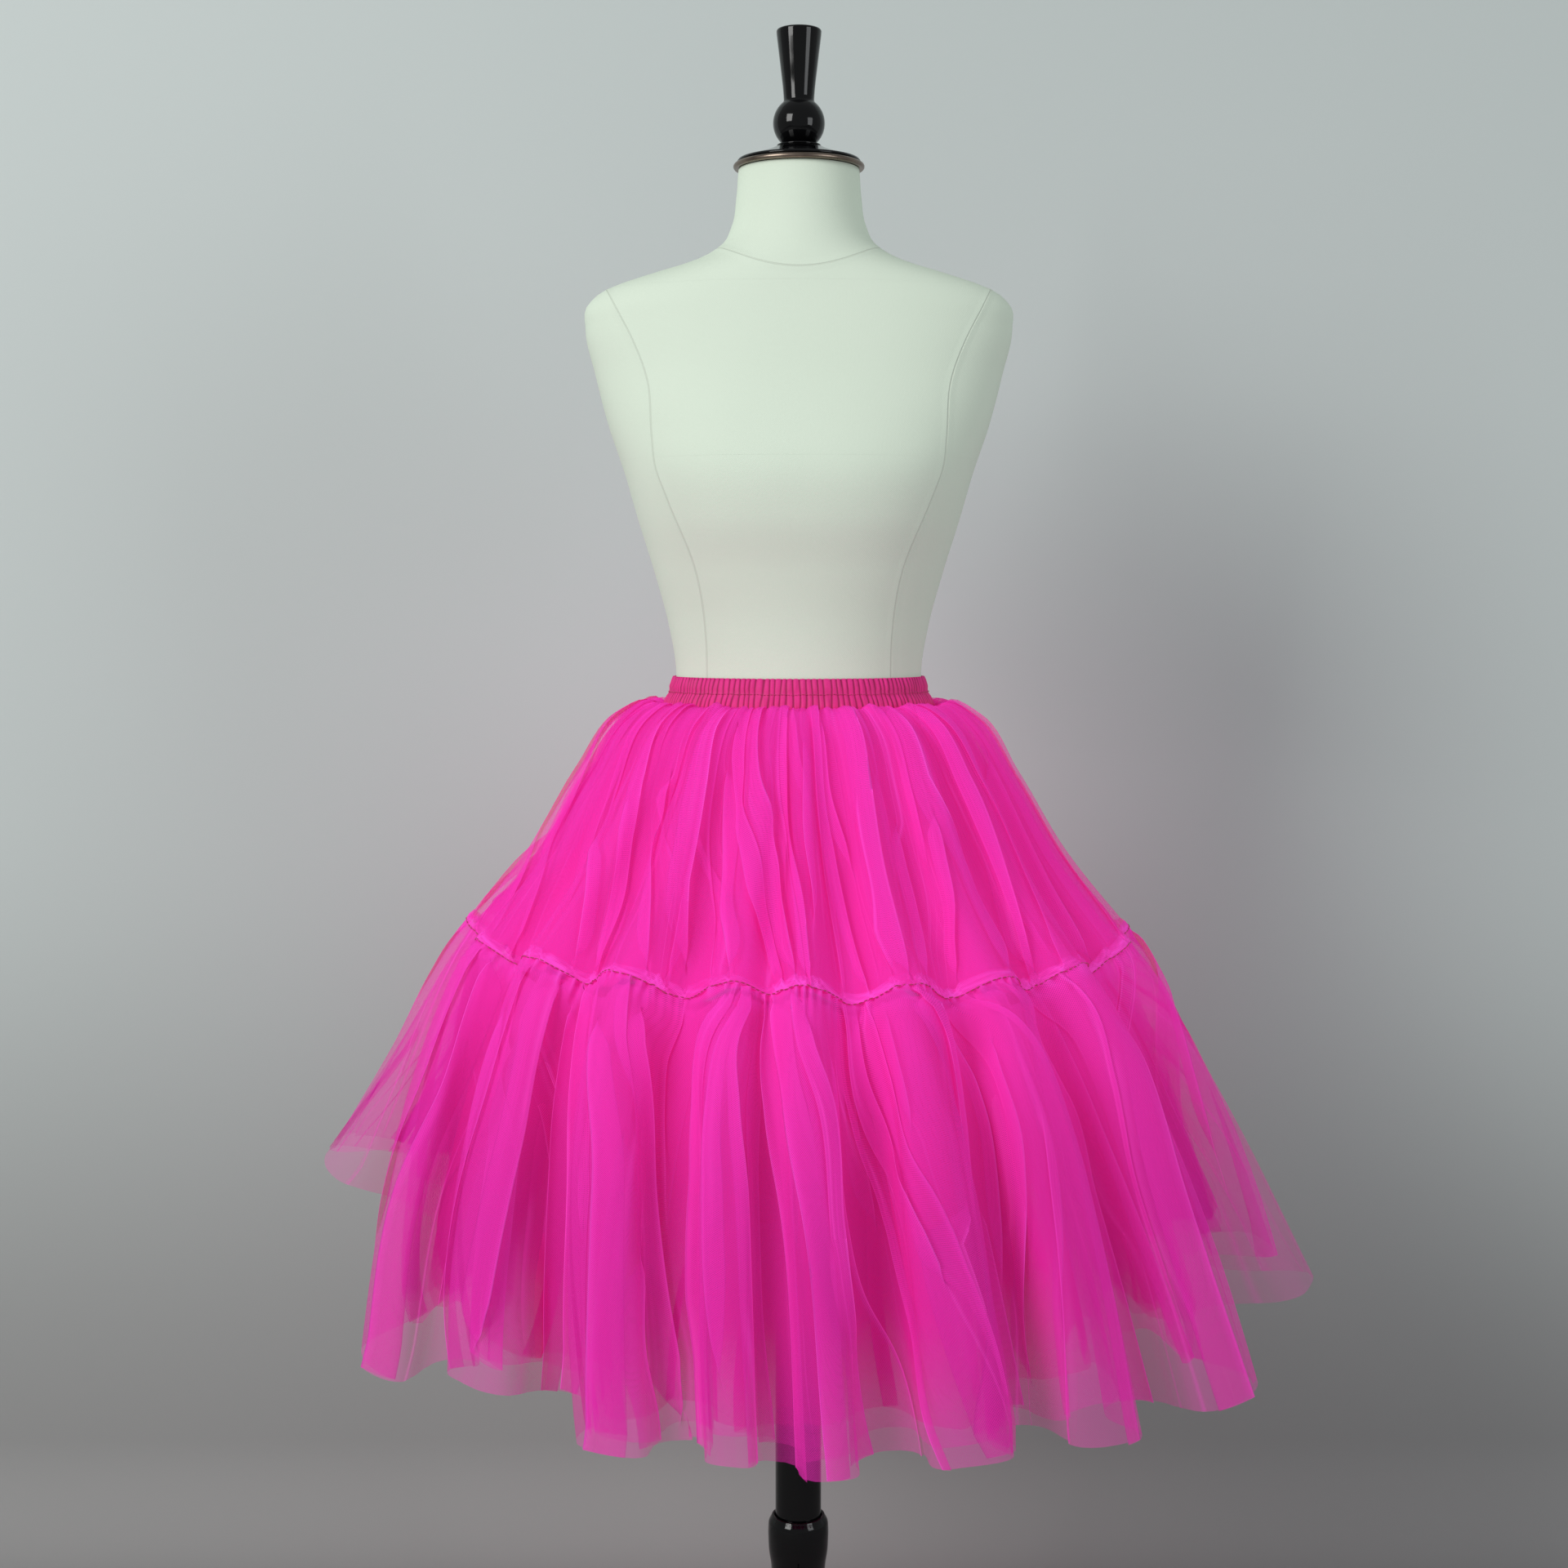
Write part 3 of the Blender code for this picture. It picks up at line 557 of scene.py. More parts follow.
def make_net_material(name, cells, colour, bright, deep, glow):
    """Hot net: it covers the share that the attribute cover gives, and more at a fold's edge.

    It is bright at its folds' edges, a painted highlight, and darker and deeper in colour where it lies
    behind them, a painted shade. Its faint glow is painted light, standing for light that the nets pass
    on to each other. cells is the shader group of its threads, or None where it only fills the inside.
    """
    made, tree, sockets = new_material(name, colour, 0.85, Specular_IOR_Level=0.12)
    made.cycles.emission_sampling = "NONE"
    density_and_highlight, behind, covered = (attribute(tree, label) for label in ("density_and_highlight", "behind", "cover"))
    sockets["Emission Strength"].default_value = 2.5 * glow
    dim, dimmer = (
        tuple(share * part for share, part in zip(shares, colour)) for shares in (GLOW_SHARES, GLOW_BEHIND)
    )
    # Painted glow: dimmer behind the folds as painted shade, and the painted highlight at folds' edges glows
    # too.
    faint = blended(tree, behind, dim, dimmer)
    feed(tree, blended(tree, density_and_highlight, faint, bright), sockets["Emission Color"])
    if cells:
        uv = place(tree, "ShaderNodeUVMap", uv_map="cloth").outputs["UV"]
        thread = use_group(tree, cells, Vector=uv, Cell=NET_CELL)["Thread"]
        covered = covered * (thread * 0.6 + 0.7)
    feed(tree, calc(tree, "MULTIPLY_ADD", density_and_highlight, 0.5, covered, clamp=True), sockets["Alpha"])
    # Base colour: painted highlight at folds' edges, painted shade where the net lies behind them.
    feed(tree, blended(tree, density_and_highlight, blended(tree, behind, colour, deep), bright), sockets["Base Color"])
    return made


def make_uneven(name, colour, roughness, mottle, scale, detail, shades, rough, bump=None, **sockets):
    """A material in patches between two shades. rough is what patches add to roughness, and its least."""
    made, tree, ends = new_material(name, colour, roughness, **sockets)
    patch = use_group(tree, mottle, Vector=object_place(tree), Scale=scale, Detail=detail)["Patch"]
    feed(tree, blended(tree, patch, *shades), ends["Base Color"])
    feed(tree, patch * rough[0] + rough[1], ends["Roughness"])
    if bump:
        feed(tree, bumped(tree, patch, *bump), ends["Normal"])
    return made


def make_band_cloth(mottle, woven_cloth):
    band, tree, sockets = new_material("band_cloth", (0.578, 0.032, 0.223), 0.6, Specular_IOR_Level=0.3)
    where = object_place(tree)
    woven = use_group(tree, woven_cloth, Vector=where, Pitch=0.0009, Uneven=0.4)
    patch = use_group(tree, mottle, Vector=where, Scale=70.0, Detail=2.0)["Patch"]
    shade = blended(tree, patch, (0.68, 0.018, 0.20), (0.95, 0.035, 0.33))
    # Painted shade: the cloth is much darker in the creases between its gathered ribs.
    crease = ramped(tree, attribute(tree, "rib"), 0.10, 0.80, 0.80, 0.0)
    feed(tree, blended(tree, crease, shade, (0.24, 0.003, 0.050)), sockets["Base Color"])
    feed(tree, patch * 0.4 + 0.35, sockets["Roughness"])
    feed(tree, bumped(tree, woven["Height"], 0.35, 0.0004), sockets["Normal"])
    return band


def make_jersey(mottle, woven_cloth):
    """Off-white jersey with a fine groove at each seam and the cloth drawn in beside it."""
    jersey, tree, sockets = new_material("form_jersey_cover", (0.72, 0.78, 0.68), 0.9, Specular_IOR_Level=0.25)
    where = object_place(tree)
    woven = use_group(tree, woven_cloth, Vector=where, Pitch=0.0016, Uneven=0.8)
    patch = use_group(tree, mottle, Vector=where, Scale=5.0, Detail=3.0)["Patch"]
    seams = [abs(attribute(tree, label)) for label in ("front_seam", "side_seam", "back_seam", "neck_seam")]
    nearest = reduce(lambda one, other: calc(tree, "MINIMUM", one, other), seams)
    groove = ramped(tree, nearest, 0.0002, 0.0011, 1.0, 0.0)
    puckered = ramped(tree, nearest, 0.0, 0.007, 1.0, 0.0)
    plain = blended(tree, patch, (0.72, 0.82, 0.695), (0.78, 0.88, 0.755))
    feed(tree, blended(tree, groove * 0.22, plain, (0.42, 0.43, 0.36)), sockets["Base Color"])
    feed(tree, woven["Yarn"] * 0.12 + 0.82, sockets["Roughness"])
    relief = puckered * 1.2 + woven["Height"] * 0.35 - groove * 1.6
    feed(tree, bumped(tree, relief, 0.5, 0.0008), sockets["Normal"])
    return jersey


def make_materials():
    cells, mottle, woven_cloth = make_net_cells(), make_mottle(), make_woven_cloth()
    return {
        # Its own colour, a painted highlight for its folds' edges and a painted shade for where it lies behind
        # them.
        "tulle": make_net_material(
            "hot_pink_net", cells, (1.0, 0.050, 0.62), (1.0, 0.100, 0.72), (0.77, 0.023, 0.40), 0.08
        ),
        # A darker, redder copy of the pink net: painted shade for the net that lies inside the skirt.
        "tulle_inner": make_net_material(
            "under_net", None, (0.96, 0.012, 0.36), (1.0, 0.03, 0.46), (0.90, 0.008, 0.28), 0.06
        ),
        "waistband": make_band_cloth(mottle, woven_cloth),
        "form_jersey": make_jersey(mottle, woven_cloth),
        "black_lacquer": make_uneven(
            "black_lacquer_coat", (0.002, 0.002, 0.003), 0.1, mottle, 40.0, 4.0,
            ((0.001, 0.001, 0.002), (0.003, 0.003, 0.003)), (0.10, 0.03), (0.04, 0.001),
            Specular_IOR_Level=0.30,
        ),
        "bronze": make_uneven(
            "dark_bronze", (0.20, 0.15, 0.12), 0.3, mottle, 60.0, 5.0,
            ((0.10, 0.075, 0.06), (0.34, 0.27, 0.22)), (0.35, 0.14), (0.08, 0.0006), Metallic=1.0,
        ),
        "thread": make_uneven(
            "dark_pink_thread", (0.50, 0.012, 0.13), 0.45, mottle, 300.0, 1.0,
            ((0.40, 0.008, 0.09), (0.62, 0.018, 0.18)), (0.3, 0.35), Sheen_Weight=0.2,
        ),
    }


# ---------------------------------------------------------------- the skirt
CLOTH, OUT, FALL, DRAW, SAG = columns_of(SECTIONS)
HEM_AT, SEAM_AT, PUFF, REACH, LIFT, CURL, LEAN = columns_of(FLUTES)


class Layer(NamedTuple):
    """One layer of net round the skirt."""

    name: str
    node: str  # the solid that it stands for
    finish: str
    top: float  # cloth from the band to its upper edge
    hem: float  # cloth from the band to its lower edge
    rows: int
    creases: int  # all round it
    inside: float  # how far it hangs inside the outermost net
    side: float  # share of the flare at the sides by which it hangs further inside
    curl: float  # how far its flutes fold back, against the table's
    size: float  # how large its creases are
    pucker: float  # height of the small puckers at its gathered edge
    nets: float  # how many nets lie together in it
    uneven: float  # how much its cut edge wanders
    thinning: float  # cloth above its cut edge over which it thins out
    thinned: float  # share of it that is gone at the cut edge
    seed: int


LAYERS = (
    Layer("upper_tier_net_1", "upper_tier", "tulle", 0.0, SEAM_CLOTH, 38, 104, 0.0, 0.0, 0.7,
          0.85, 0.0020, 1.3, 0.0, 0.0, 0.0, 11),
    Layer("upper_tier_net_2", "upper_tier", "tulle", 0.0, SEAM_CLOTH, 32, 88, 0.0060, 0.0, 0.6,
          0.85, 0.0014, 1.8, 0.0, 0.0, 0.0, 12),
    Layer("lower_tier_net_1", "lower_tier", "tulle", SEAM_CLOTH, HEM_CLOTH, 48, 120, 0.0, 0.0, 0.8,
          1.0, 0.0022, 1.2, 0.004, 0.0, 0.0, 13),
    Layer("lower_tier_net_2", "lower_tier", "tulle", SEAM_CLOTH, 0.654, 40, 104, 0.0130, 0.85, 0.6,
          1.0, 0.0018, 1.5, 0.008, 0.06, 0.30, 14),
    Layer("under_upper_net", "inner_upper_tier", "tulle_inner", 0.0, 0.280, 22, 60, 0.0150, 0.0, 0.5,
          0.8, 0.0, 7.0, 0.0, 0.0, 0.0, 15),
    Layer("under_lower_net", "inner_lower_tier", "tulle_inner", 0.2703, 0.641, 36, 72, 0.0270, 1.0, 0.5,
          0.9, 0.0, 6.0, 0.012, 0.10, 0.78, 16),
)
FLARE_THINNED = 0.55  # how much thinner the outermost net looks where it flares at the sides
SOFT_STREAKS = 0.30  # how much denser or thinner a layer lies in streaks
PANEL_COLUMNS = 10
LAP_COLUMNS = 6
PUCKERS = 230
HAND_HEIGHT = 0.75  # height of a listed crease, as a share of the table's
HAND_ENDS = (0.03, 0.05)  # cloth over which it rises and fades
FILL_HEIGHT = 0.0054  # height of the tallest of the others in a layer of size 1
FILL_LAPS = (0.006, 0.026)  # how far they are pushed over
FILL_LEAST = 0.22  # size of the smallest as a share of the tallest
FILL_STEP = (0.40, 0.30, 0.10)  # how unevenly they stand, how they drift apart and how they waver
INNER_EDGE = 0.6  # how far a crease's inner edge lies back, as a share of its height
ROUND_EDGE = 0.35  # degrees that a crease with no lap takes up
FULL_LAP = 0.006
SHARP_HEIGHT = 0.003  # height from which a crease's edge looks sharp
EDGE_SPREAD = 0.15  # share of the edge that its neighbours on both sides show
DEGREES_APART = 0.5  # least distance between creases
EDGE_LIGHT, PUCKER_LIGHT = 0.8, 0.25  # how strongly folds' edges and the puckers' raised sides are marked: denser net with a painted highlight
FOLD_SHADE, HEM_SHADE = 0.34, 0.52  # painted shade: how much darker and deeper in colour the net is behind its folds, and down the tier
HAIRLINES = 2.2  # fine lines for each crease, a painted highlight and denser net with no fold in the shape
HAIRLINE_LIGHT = (0.12, 0.50)
SOLID_COVER = (0.80, 0.12)  # cover from which the net closes up, and over which share more it does


def near_azimuth(azimuth, at, breadth):
    """1 at an azimuth in degrees, and falling to 0 on both sides over its breadth."""
    return np.exp(-(((azimuth - at + 180) % 360 - 180) / breadth) ** 2)


def between_flutes(place_round, cloth):
    """The two flutes that a place round the skirt lies between, and how far down the lower tier it is.

    Places count the flutes. It gives both flutes' azimuths and numbers, and the share of the way from
    one to the other.
    """
    index = np.floor(place_round).astype(int) % len(FLUTES)
    following = (index + 1) % len(FLUTES)
    part = place_round - np.floor(place_round)
    down = np.clip((cloth - SEAM_CLOTH) / (HEM_CLOTH - SEAM_CLOTH), 0.0, None)
    start = SEAM_AT[index] + (HEM_AT[index] - SEAM_AT[index]) * down
    end = SEAM_AT[following] + (HEM_AT[following] - SEAM_AT[following]) * down
    end = end + np.where(index == len(FLUTES) - 1, 360.0, 0.0)
    return start, end, part, index, following, down


def place_at(azimuth, down):
    """The place round the skirt that has an azimuth, for rows of azimuths and how far down each row is."""
    places = np.arange(-len(FLUTES), 2 * len(FLUTES))
    found = np.empty(azimuth.shape)
    for row, share in enumerate(down):
        at = SEAM_AT + (HEM_AT - SEAM_AT) * share
        found[row] = np.interp(azimuth[row], np.concatenate([at - 360.0, at, at + 360.0]), places)
    return found


def skirt_points(layer, place_round, cloth):
    """The layer's points before its folds, for arrays of places round it and of lengths of cloth."""
    start, end, part, index, following, down = between_flutes(place_round, cloth)
    out, fall, draw, sag = (smooth_curve(CLOTH, values, cloth) for values in (OUT, FALL, DRAW, SAG))

    def mixed(values, share):
        return values[index] + (values[following] - values[index]) * share

    over_tier = np.sin(pi * np.clip(cloth / SEAM_CLOTH, 0.0, 1.0)) ** 2 * UPPER_CURL
    curled = layer.curl * np.where(cloth > SEAM_CLOTH, eased(down / LOWER_CURL_DOWN), over_tier)
    curl, lean = (mixed(values, part) * curled for values in (CURL, LEAN))
    turned_to = part + curl * np.sin(4 * pi * part) + lean * np.sin(2 * pi * part)
    azimuth = np.radians(start + (end - start) * turned_to)
    ring = ellipse_radius(azimuth, RING_HALF_WIDTH, RING_HALF_DEPTH)
    share = eased(part)
    above, below = mixed(PUFF, share), mixed(REACH, share)
    crest = out * (above + (below - above) * down)
    width = np.radians(end - start) * (ring + crest)
    rounding = CREST_ROUNDING if layer.inside < DEEP_INSIDE else INNER_ROUNDING
    distance = crest - draw * width * np.sin(pi * part) ** rounding
    if layer.inside:
        apart = np.minimum(1.0, out / FULL_CLEARANCE_OUT)
        distance = distance - LAYERS_TOGETHER - (layer.inside - LAYERS_TOGETHER) * apart
        flared = sum(reach * near_azimuth(np.degrees(azimuth), at, breadth)
                     for at, breadth, reach, _ in SIDE_FLARES)
        flared = flared * (FLARE_AT_SEAM + (1 - FLARE_AT_SEAM) * down)
        distance = distance - layer.side * flared * eased(cloth / FLARE_BEGINS)
    drop = fall + (crest - distance) * sag
    drop = drop + HANG_TILT * (cloth / HEM_CLOTH) * np.cos(azimuth - radians(HANG_AZIMUTH))
    drop = drop - mixed(LIFT, share) * down * down
    return on_ring(azimuth, ring + distance, SKIRT_TOP - drop * eased(cloth / 0.004))


def along_edge(edge, level):
    """Azimuth of a listed crease at each level; beyond its ends it turns straight down."""
    at, azimuth = (np.array(values, float) for values in zip(*edge))
    azimuths = smooth_curve(at, azimuth, np.clip(level, at[0], at[-1]))
    before, beyond = np.clip(at[0] - level, 0, None), np.clip(level - at[-1], 0, None)
    first, last = np.clip(np.diff(azimuth)[[0, -1]] / np.diff(at)[[0, -1]], -60.0, 60.0)
    return azimuths - first * before * 0.6 + last * beyond * 0.6


def strength(level, begin, end, rise, fade):
    return eased((level - begin) / rise) * eased((end - level) / fade)


def filled_crease(layer, share, level, side, random):
    """How far a crease that fills a gap stands off its even place, its height, its lap and its side."""
    uneven, drifting, wavering = FILL_STEP
    span = layer.hem - layer.top
    step = uneven * random.uniform(-1, 1) + drifting * random.uniform(-1, 1) * (share - 0.5)
    waver = wavering * np.sin(2 * pi * (share * random.uniform(0.5, 1.6) + random.uniform()))
    long = random.uniform() < 0.5
    begin = layer.top - 0.03 if random.uniform() < 0.75 else layer.top + span * random.uniform(0.05, 0.5)
    end = layer.hem + 0.10 if long else layer.top + span * random.uniform(0.25, 1.0)
    here = strength(level, begin, end, 0.03 + 0.03 * random.uniform(), 0.06 + 0.08 * random.uniform())
    size = layer.size * (FILL_LEAST + (1 - FILL_LEAST) * random.uniform() ** 2)
    side = -side if random.uniform() < 0.8 else side
    lap = side * random.uniform(*FILL_LAPS) * size * here
    return step + waver * share, FILL_HEIGHT * size * here, lap, side


def creases_of(layer, placed, level, random):
    """Azimuth, height and lap of all creases at each level, in order round the layer.

    Those listed in the tables come first, and the others stand in the gaps between them, in uneven steps.
    Most stand in pairs with a raised panel between them.
    """
    placed = sorted(placed, key=lambda crease: along_edge(crease[4], level).mean())
    by_hand = []
    for begin, end, height, lap, edge in placed:
        here = strength(level, begin, end, *HAND_ENDS)
        by_hand.append((along_edge(edge, level), HAND_HEIGHT * height * here, lap * here))
    if not by_hand:
        by_hand = [(np.full(level.shape, -180.0), 0 * level, 0 * level)]
    share = (level - layer.top) / (layer.hem - layer.top)
    creases = []
    for k, (line, _, lap) in enumerate(by_hand):
        creases.append(by_hand[k])
        gap = (by_hand[k + 1][0] if k + 1 < len(by_hand) else by_hand[0][0] + 360.0) - line
        count = int(round(gap.mean() / 360.0 * layer.creases)) - 1
        side = -1 if lap.mean() > 0 else 1
        for n in range(count):
            off, high, lapped, side = filled_crease(layer, share, level, side, random)
            creases.append((line + gap * (n + 1 + off) / (count + 1), high, lapped))
    azimuths, high, lapped = (np.array(values) for values in zip(*creases))
    order = np.arange(len(azimuths))[:, None] * DEGREES_APART
    azimuths = np.maximum.accumulate(azimuths - order, axis=0) + order
    beyond = np.clip(azimuths - (azimuths[:1] + 359.0), 0, None)
    return azimuths - beyond, high, lapped


def folded(layer, placed, level, random):
    """Azimuth, offset outwards and edge of every column at each level of a layer with its creases."""
    azimuth, high, lap = creases_of(layer, placed, level, random)
    out = smooth_curve(CLOTH, OUT, level)
    radius = (RING_HALF_WIDTH + RING_HALF_DEPTH) / 2 + out
    wider = 0.45 + 0.55 * radius / radius[-1]
    free = eased((level - layer.top) / 0.020)
    if layer.hem <= SEAM_CLOTH:
        free = free * eased((layer.hem - level) / 0.030)
    lap = lap * free * wider
    high = high * (0.35 + 0.65 * free) * wider
    flat = ROUND_EDGE * (1 - np.clip(np.abs(lap) / FULL_LAP, 0, 1))
    behind = np.degrees(np.abs(lap) / radius)
    inner = -INNER_EDGE * high
    over = lap >= 0
    first = np.where(over, azimuth - flat, azimuth + behind - flat)
    second = np.where(over, azimuth - behind + flat, azimuth + flat)
    first_out, second_out = np.where(over, high, inner), np.where(over, inner, high)
    next_first = np.roll(first, -1, axis=0)
    next_first[-1] += 360.0
    next_out = np.roll(first_out, -1, axis=0)
    columns, offsets, edges = [], [], []
    for k in range(len(azimuth)):
        sharp = np.clip(high[k] / SHARP_HEIGHT, 0, 1)
        runs = ((LAP_COLUMNS, first, second, first_out, second_out, over),
                (PANEL_COLUMNS, second, next_first, second_out, next_out, ~over))
        for count, begin, end, begin_out, end_out, outer in runs:
            for n, share in enumerate(0.5 - 0.5 * np.cos(pi * np.arange(count) / count)):
                columns.append(begin[k] + (end[k] - begin[k]) * share)
                offsets.append(begin_out[k] + (end_out[k] - begin_out[k]) * share)
                edges.append(sharp * (outer[k] * (n == 0)))
    columns, offsets, edges = (np.array(values).T for values in (columns, offsets, edges))
    ahead, back = np.roll(columns, -1, axis=1), np.roll(columns, 1, axis=1)
    ahead[:, -1] += 360.0
    back[:, 0] -= 360.0
    columns = 0.5 * columns + 0.25 * (ahead + back)
    offsets = 0.5 * offsets + 0.25 * (np.roll(offsets, -1, axis=1) + np.roll(offsets, 1, axis=1))
    edges = edges + EDGE_SPREAD * (np.roll(edges, 1, axis=1) + np.roll(edges, -1, axis=1))
    return columns, offsets, edges


def puckers(layer, azimuth, cloth, random):
    """Small puckers just below a gathered edge, each fading at its own length."""
    around = np.radians(azimuth)
    phase = PUCKERS * around + 2.5 * wandering(around, (7, 19, 31, 53), random)
    size = np.clip(0.8 + 0.6 * wandering(around, (23, 41, 67), random), 0.1, None)
    length = np.clip(0.016 + 0.010 * wandering(around, (17, 37, 61), random), 0.005, None)
    return layer.pucker * size * np.sin(phase) * np.exp(-(cloth - layer.top) / length)


def scallops(azimuth, cloth):
    """How unevenly high the gathered net stands before it turns down from the waistband."""
    wander = wandering(np.radians(azimuth), (16, 25, 37, 58), np.random.RandomState(27))
    return 0.0034 * np.maximum(wander, -0.1) * np.sin(pi * np.clip(cloth / 0.05, 0, 1)) ** 2


def streaks(azimuth, cloth, random):
    """Long thin differences in how densely the net lies, running down the cloth."""
    value = np.zeros(cloth.shape)
    share = cloth / HEM_CLOTH
    for count, size in ((90, 0.5), (260, 0.35), (700, 0.25)):
        for here in (1 - share, share):
            levels = random.uniform(-1, 1, count)
            where = (azimuth / 360.0 % 1.0) * count
            low = np.floor(where).astype(int)
            across = eased(where - low)
            value += size * here * (levels[low % count] * (1 - across) + levels[(low + 1) % count] * across)
    return value


def hairlines(layer, columns, level, random):
    """Fine lines down single columns, each over its own length: denser net and a painted highlight only."""
    lines = np.zeros((len(level), columns))
    span = layer.hem - layer.top
    for column in random.randint(0, columns, int(HAIRLINES * layer.creases)):
        begin = layer.top + span * random.uniform(-0.3, 0.7)
        end = begin + span * random.uniform(0.25, 0.9)
        line = random.uniform(*HAIRLINE_LIGHT) * strength(level, begin, end, 0.04, 0.06)
        lines[:, column] = np.maximum(lines[:, column], line)
    return lines


def cover_of(layer, azimuth, cloth, down, fullness, random):
    """The share of each spot that the layer's net covers."""
    columns = azimuth.shape[1]
    streak = streaks(360.0 * np.arange(columns) / columns, cloth, random)
    lying = layer.nets * fullness * (1 + SOFT_STREAKS * streak)
    if layer.hem == HEM_CLOTH:
        flared = sum(near_azimuth(azimuth, at, 0.8 * breadth)
                     for at, breadth, reach, _ in SIDE_FLARES if reach)
        lying = lying * (1 - FLARE_THINNED * np.clip(flared, 0, 1) * eased(down / 0.8)[:, None])
    if layer.thinning:
        lying = lying * (1 - layer.thinned * eased(1 - (cloth[-1] - cloth) / layer.thinning))
    cover = 1 - (1 - NET_SHARE) ** np.clip(lying, 0.4, None)
    return cover + (1 - cover) * eased((cover - SOLID_COVER[0]) / SOLID_COVER[1])


def make_layer(layer, placed, materials):
    """Makes a layer of net and gives its points and the directions out from them."""
    random = np.random.RandomState(layer.seed)
    share = np.linspace(0.0, 1.0, layer.rows) ** 1.15
    level = layer.top + (layer.hem - layer.top) * share
    azimuth, offset, edge = folded(layer, placed, level, random)
    columns = azimuth.shape[1]
    bottom = layer.uneven * wandering(2 * pi * np.arange(columns) / columns, (3, 5, 9, 14, 23, 41), random)
    if layer.side and layer.hem > SEAM_CLOTH:
        jagged = 1 + 0.35 * wandering(np.radians(azimuth[-1]), (29, 47, 71), random)
        bottom = bottom - sum(shorter * near_azimuth(azimuth[-1], at, 0.7 * breadth) * jagged
                              for at, breadth, _, shorter in SIDE_FLARES)
    cloth = level[:, None] + bottom[None, :] * share[:, None]
    down = np.clip((level - SEAM_CLOTH) / (HEM_CLOTH - SEAM_CLOTH), 0.0, None)
    place_round = place_at(azimuth, down)
    points = skirt_points(layer, place_round, cloth)
    if layer.top == 0.0:
        points[..., 2] += scallops(azimuth, cloth)
    around = unit(skirt_points(layer, place_round + 0.02, cloth) - points)
    outward = unit(np.cross(unit(np.gradient(points, axis=0)), around))
    small = puckers(layer, azimuth, cloth, random)
    points = points + outward * (offset + small)[..., None]
    arc, total = arc_along(points)
    cut_width = float(arc_along(points * (1, 1, 0))[1][-1])
    fullness = np.maximum(cut_width / total, 1.0)[:, None]
    cover = cover_of(layer, azimuth, cloth, down, fullness, random)
    edge = np.maximum(edge, hairlines(layer, columns, level, random))
    # Folds' edges, hairlines and the puckers' raised sides: the net is denser there and carries a painted
    # highlight.
    density_and_highlight = EDGE_LIGHT * edge + PUCKER_LIGHT * np.clip(small / 0.002, 0, 1) ** 2
    # Painted shade: darker and deeper in colour where the net lies back behind its folds, and further down the
    # tier.
    behind = FOLD_SHADE * np.clip((0.001 - offset) / 0.006, 0, 1) + HEM_SHADE * eased(down / 0.7)[:, None]
    mesh = ring_mesh(layer.name, points, np.append(arc[-1], total[-1]), cloth)
    set_attribute(mesh, "cover", cover)
    set_attribute(mesh, "density_and_highlight", np.clip(density_and_highlight, 0, 1))
    set_attribute(mesh, "behind", np.clip(behind, 0, 1))
    sheet = link(layer.name, mesh, materials[layer.finish])
    ride_form(sheet, layer.finish, layer.node)
    return points, outward


def ride_form(piece, slot, *nodes, body="form"):
    if nodes:
        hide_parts(*nodes)
    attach(piece, body)
    return piece


# ---------------------------------------------------------------- stitches and seam heading
def make_stitch_run():
    """Short stitches set one after the other along a path."""
    tree, given, ends = new_group(
        "stitch_run",
        "GeometryNodeTree",
        [("Geometry", GEOMETRY), ("Pitch", FLOAT, 0.0035), ("Length", FLOAT, 0.0026),
         ("Thickness", FLOAT, 0.0007), ("Seed", "NodeSocketInt", 1), ("Thread", "NodeSocketMaterial")],
        [("Geometry", GEOMETRY)],
    )
    path = place(tree, "GeometryNodeMeshToCurve", {"Mesh": given["Geometry"]}).outputs["Curve"]
    spots = place(tree, "GeometryNodeResampleCurve", {"Curve": path, "Length": given["Pitch"]}, mode="LENGTH")
    grain = place(tree, "GeometryNodeMeshUVSphere", {"Segments": 6, "Rings": 4, "Radius": 0.5})
    tangent = place(tree, "GeometryNodeInputTangent").outputs["Tangent"]
    aligned = place(tree, "FunctionNodeAlignRotationToVector", {"Vector": tangent}, axis="Z")
    varied = place(tree, "FunctionNodeRandomValue", {"Seed": given["Seed"]}, data_type="FLOAT")
    varied.inputs[2].default_value, varied.inputs[3].default_value = 0.8, 1.15
    long = given["Length"] * varied.outputs[1]
    scale = joined(tree, given["Thickness"], given["Thickness"], long)
    inputs = {"Points": spots.outputs["Curve"], "Instance": grain.outputs["Mesh"],
              "Rotation": aligned.outputs["Rotation"], "Scale": scale}
    run = place(tree, "GeometryNodeInstanceOnPoints", inputs).outputs["Instances"]
    run = after(tree, "GeometryNodeSetShadeSmooth", after(tree, "GeometryNodeRealizeInstances", run))
    run = after(tree, "GeometryNodeSetMaterial", run, {"Material": given["Thread"]})
    feed(tree, run, ends["Geometry"])
    return tree


def baked(name, mesh, tree, material, **values):
    """A new object whose mesh is what the tree makes of mesh, with no modifier left on it."""
    source = link(name + "_source", mesh, material)
    modifier = source.modifiers.new("nodes", "NODES")
    modifier.node_group = tree
    for item in tree.interface.items_tree:
        if item.in_out == "INPUT" and item.name in values:
            modifier[item.identifier] = values[item.name]
    graph = bpy.context.evaluated_depsgraph_get()
    made = bpy.data.meshes.new_from_object(source.evaluated_get(graph))
    bpy.data.objects.remove(source, do_unlink=True)
    made.name = name
    return link(name, made, material)


def path_mesh(name, points):
    """A closed line through the points."""
    mesh = bpy.data.meshes.new(name)
    count = len(points)
    mesh.from_pydata(points.tolist(), [(k, (k + 1) % count) for k in range(count)], [])
    return mesh


HEADING_HEIGHT = 0.010
HEADING_ROWS = 7


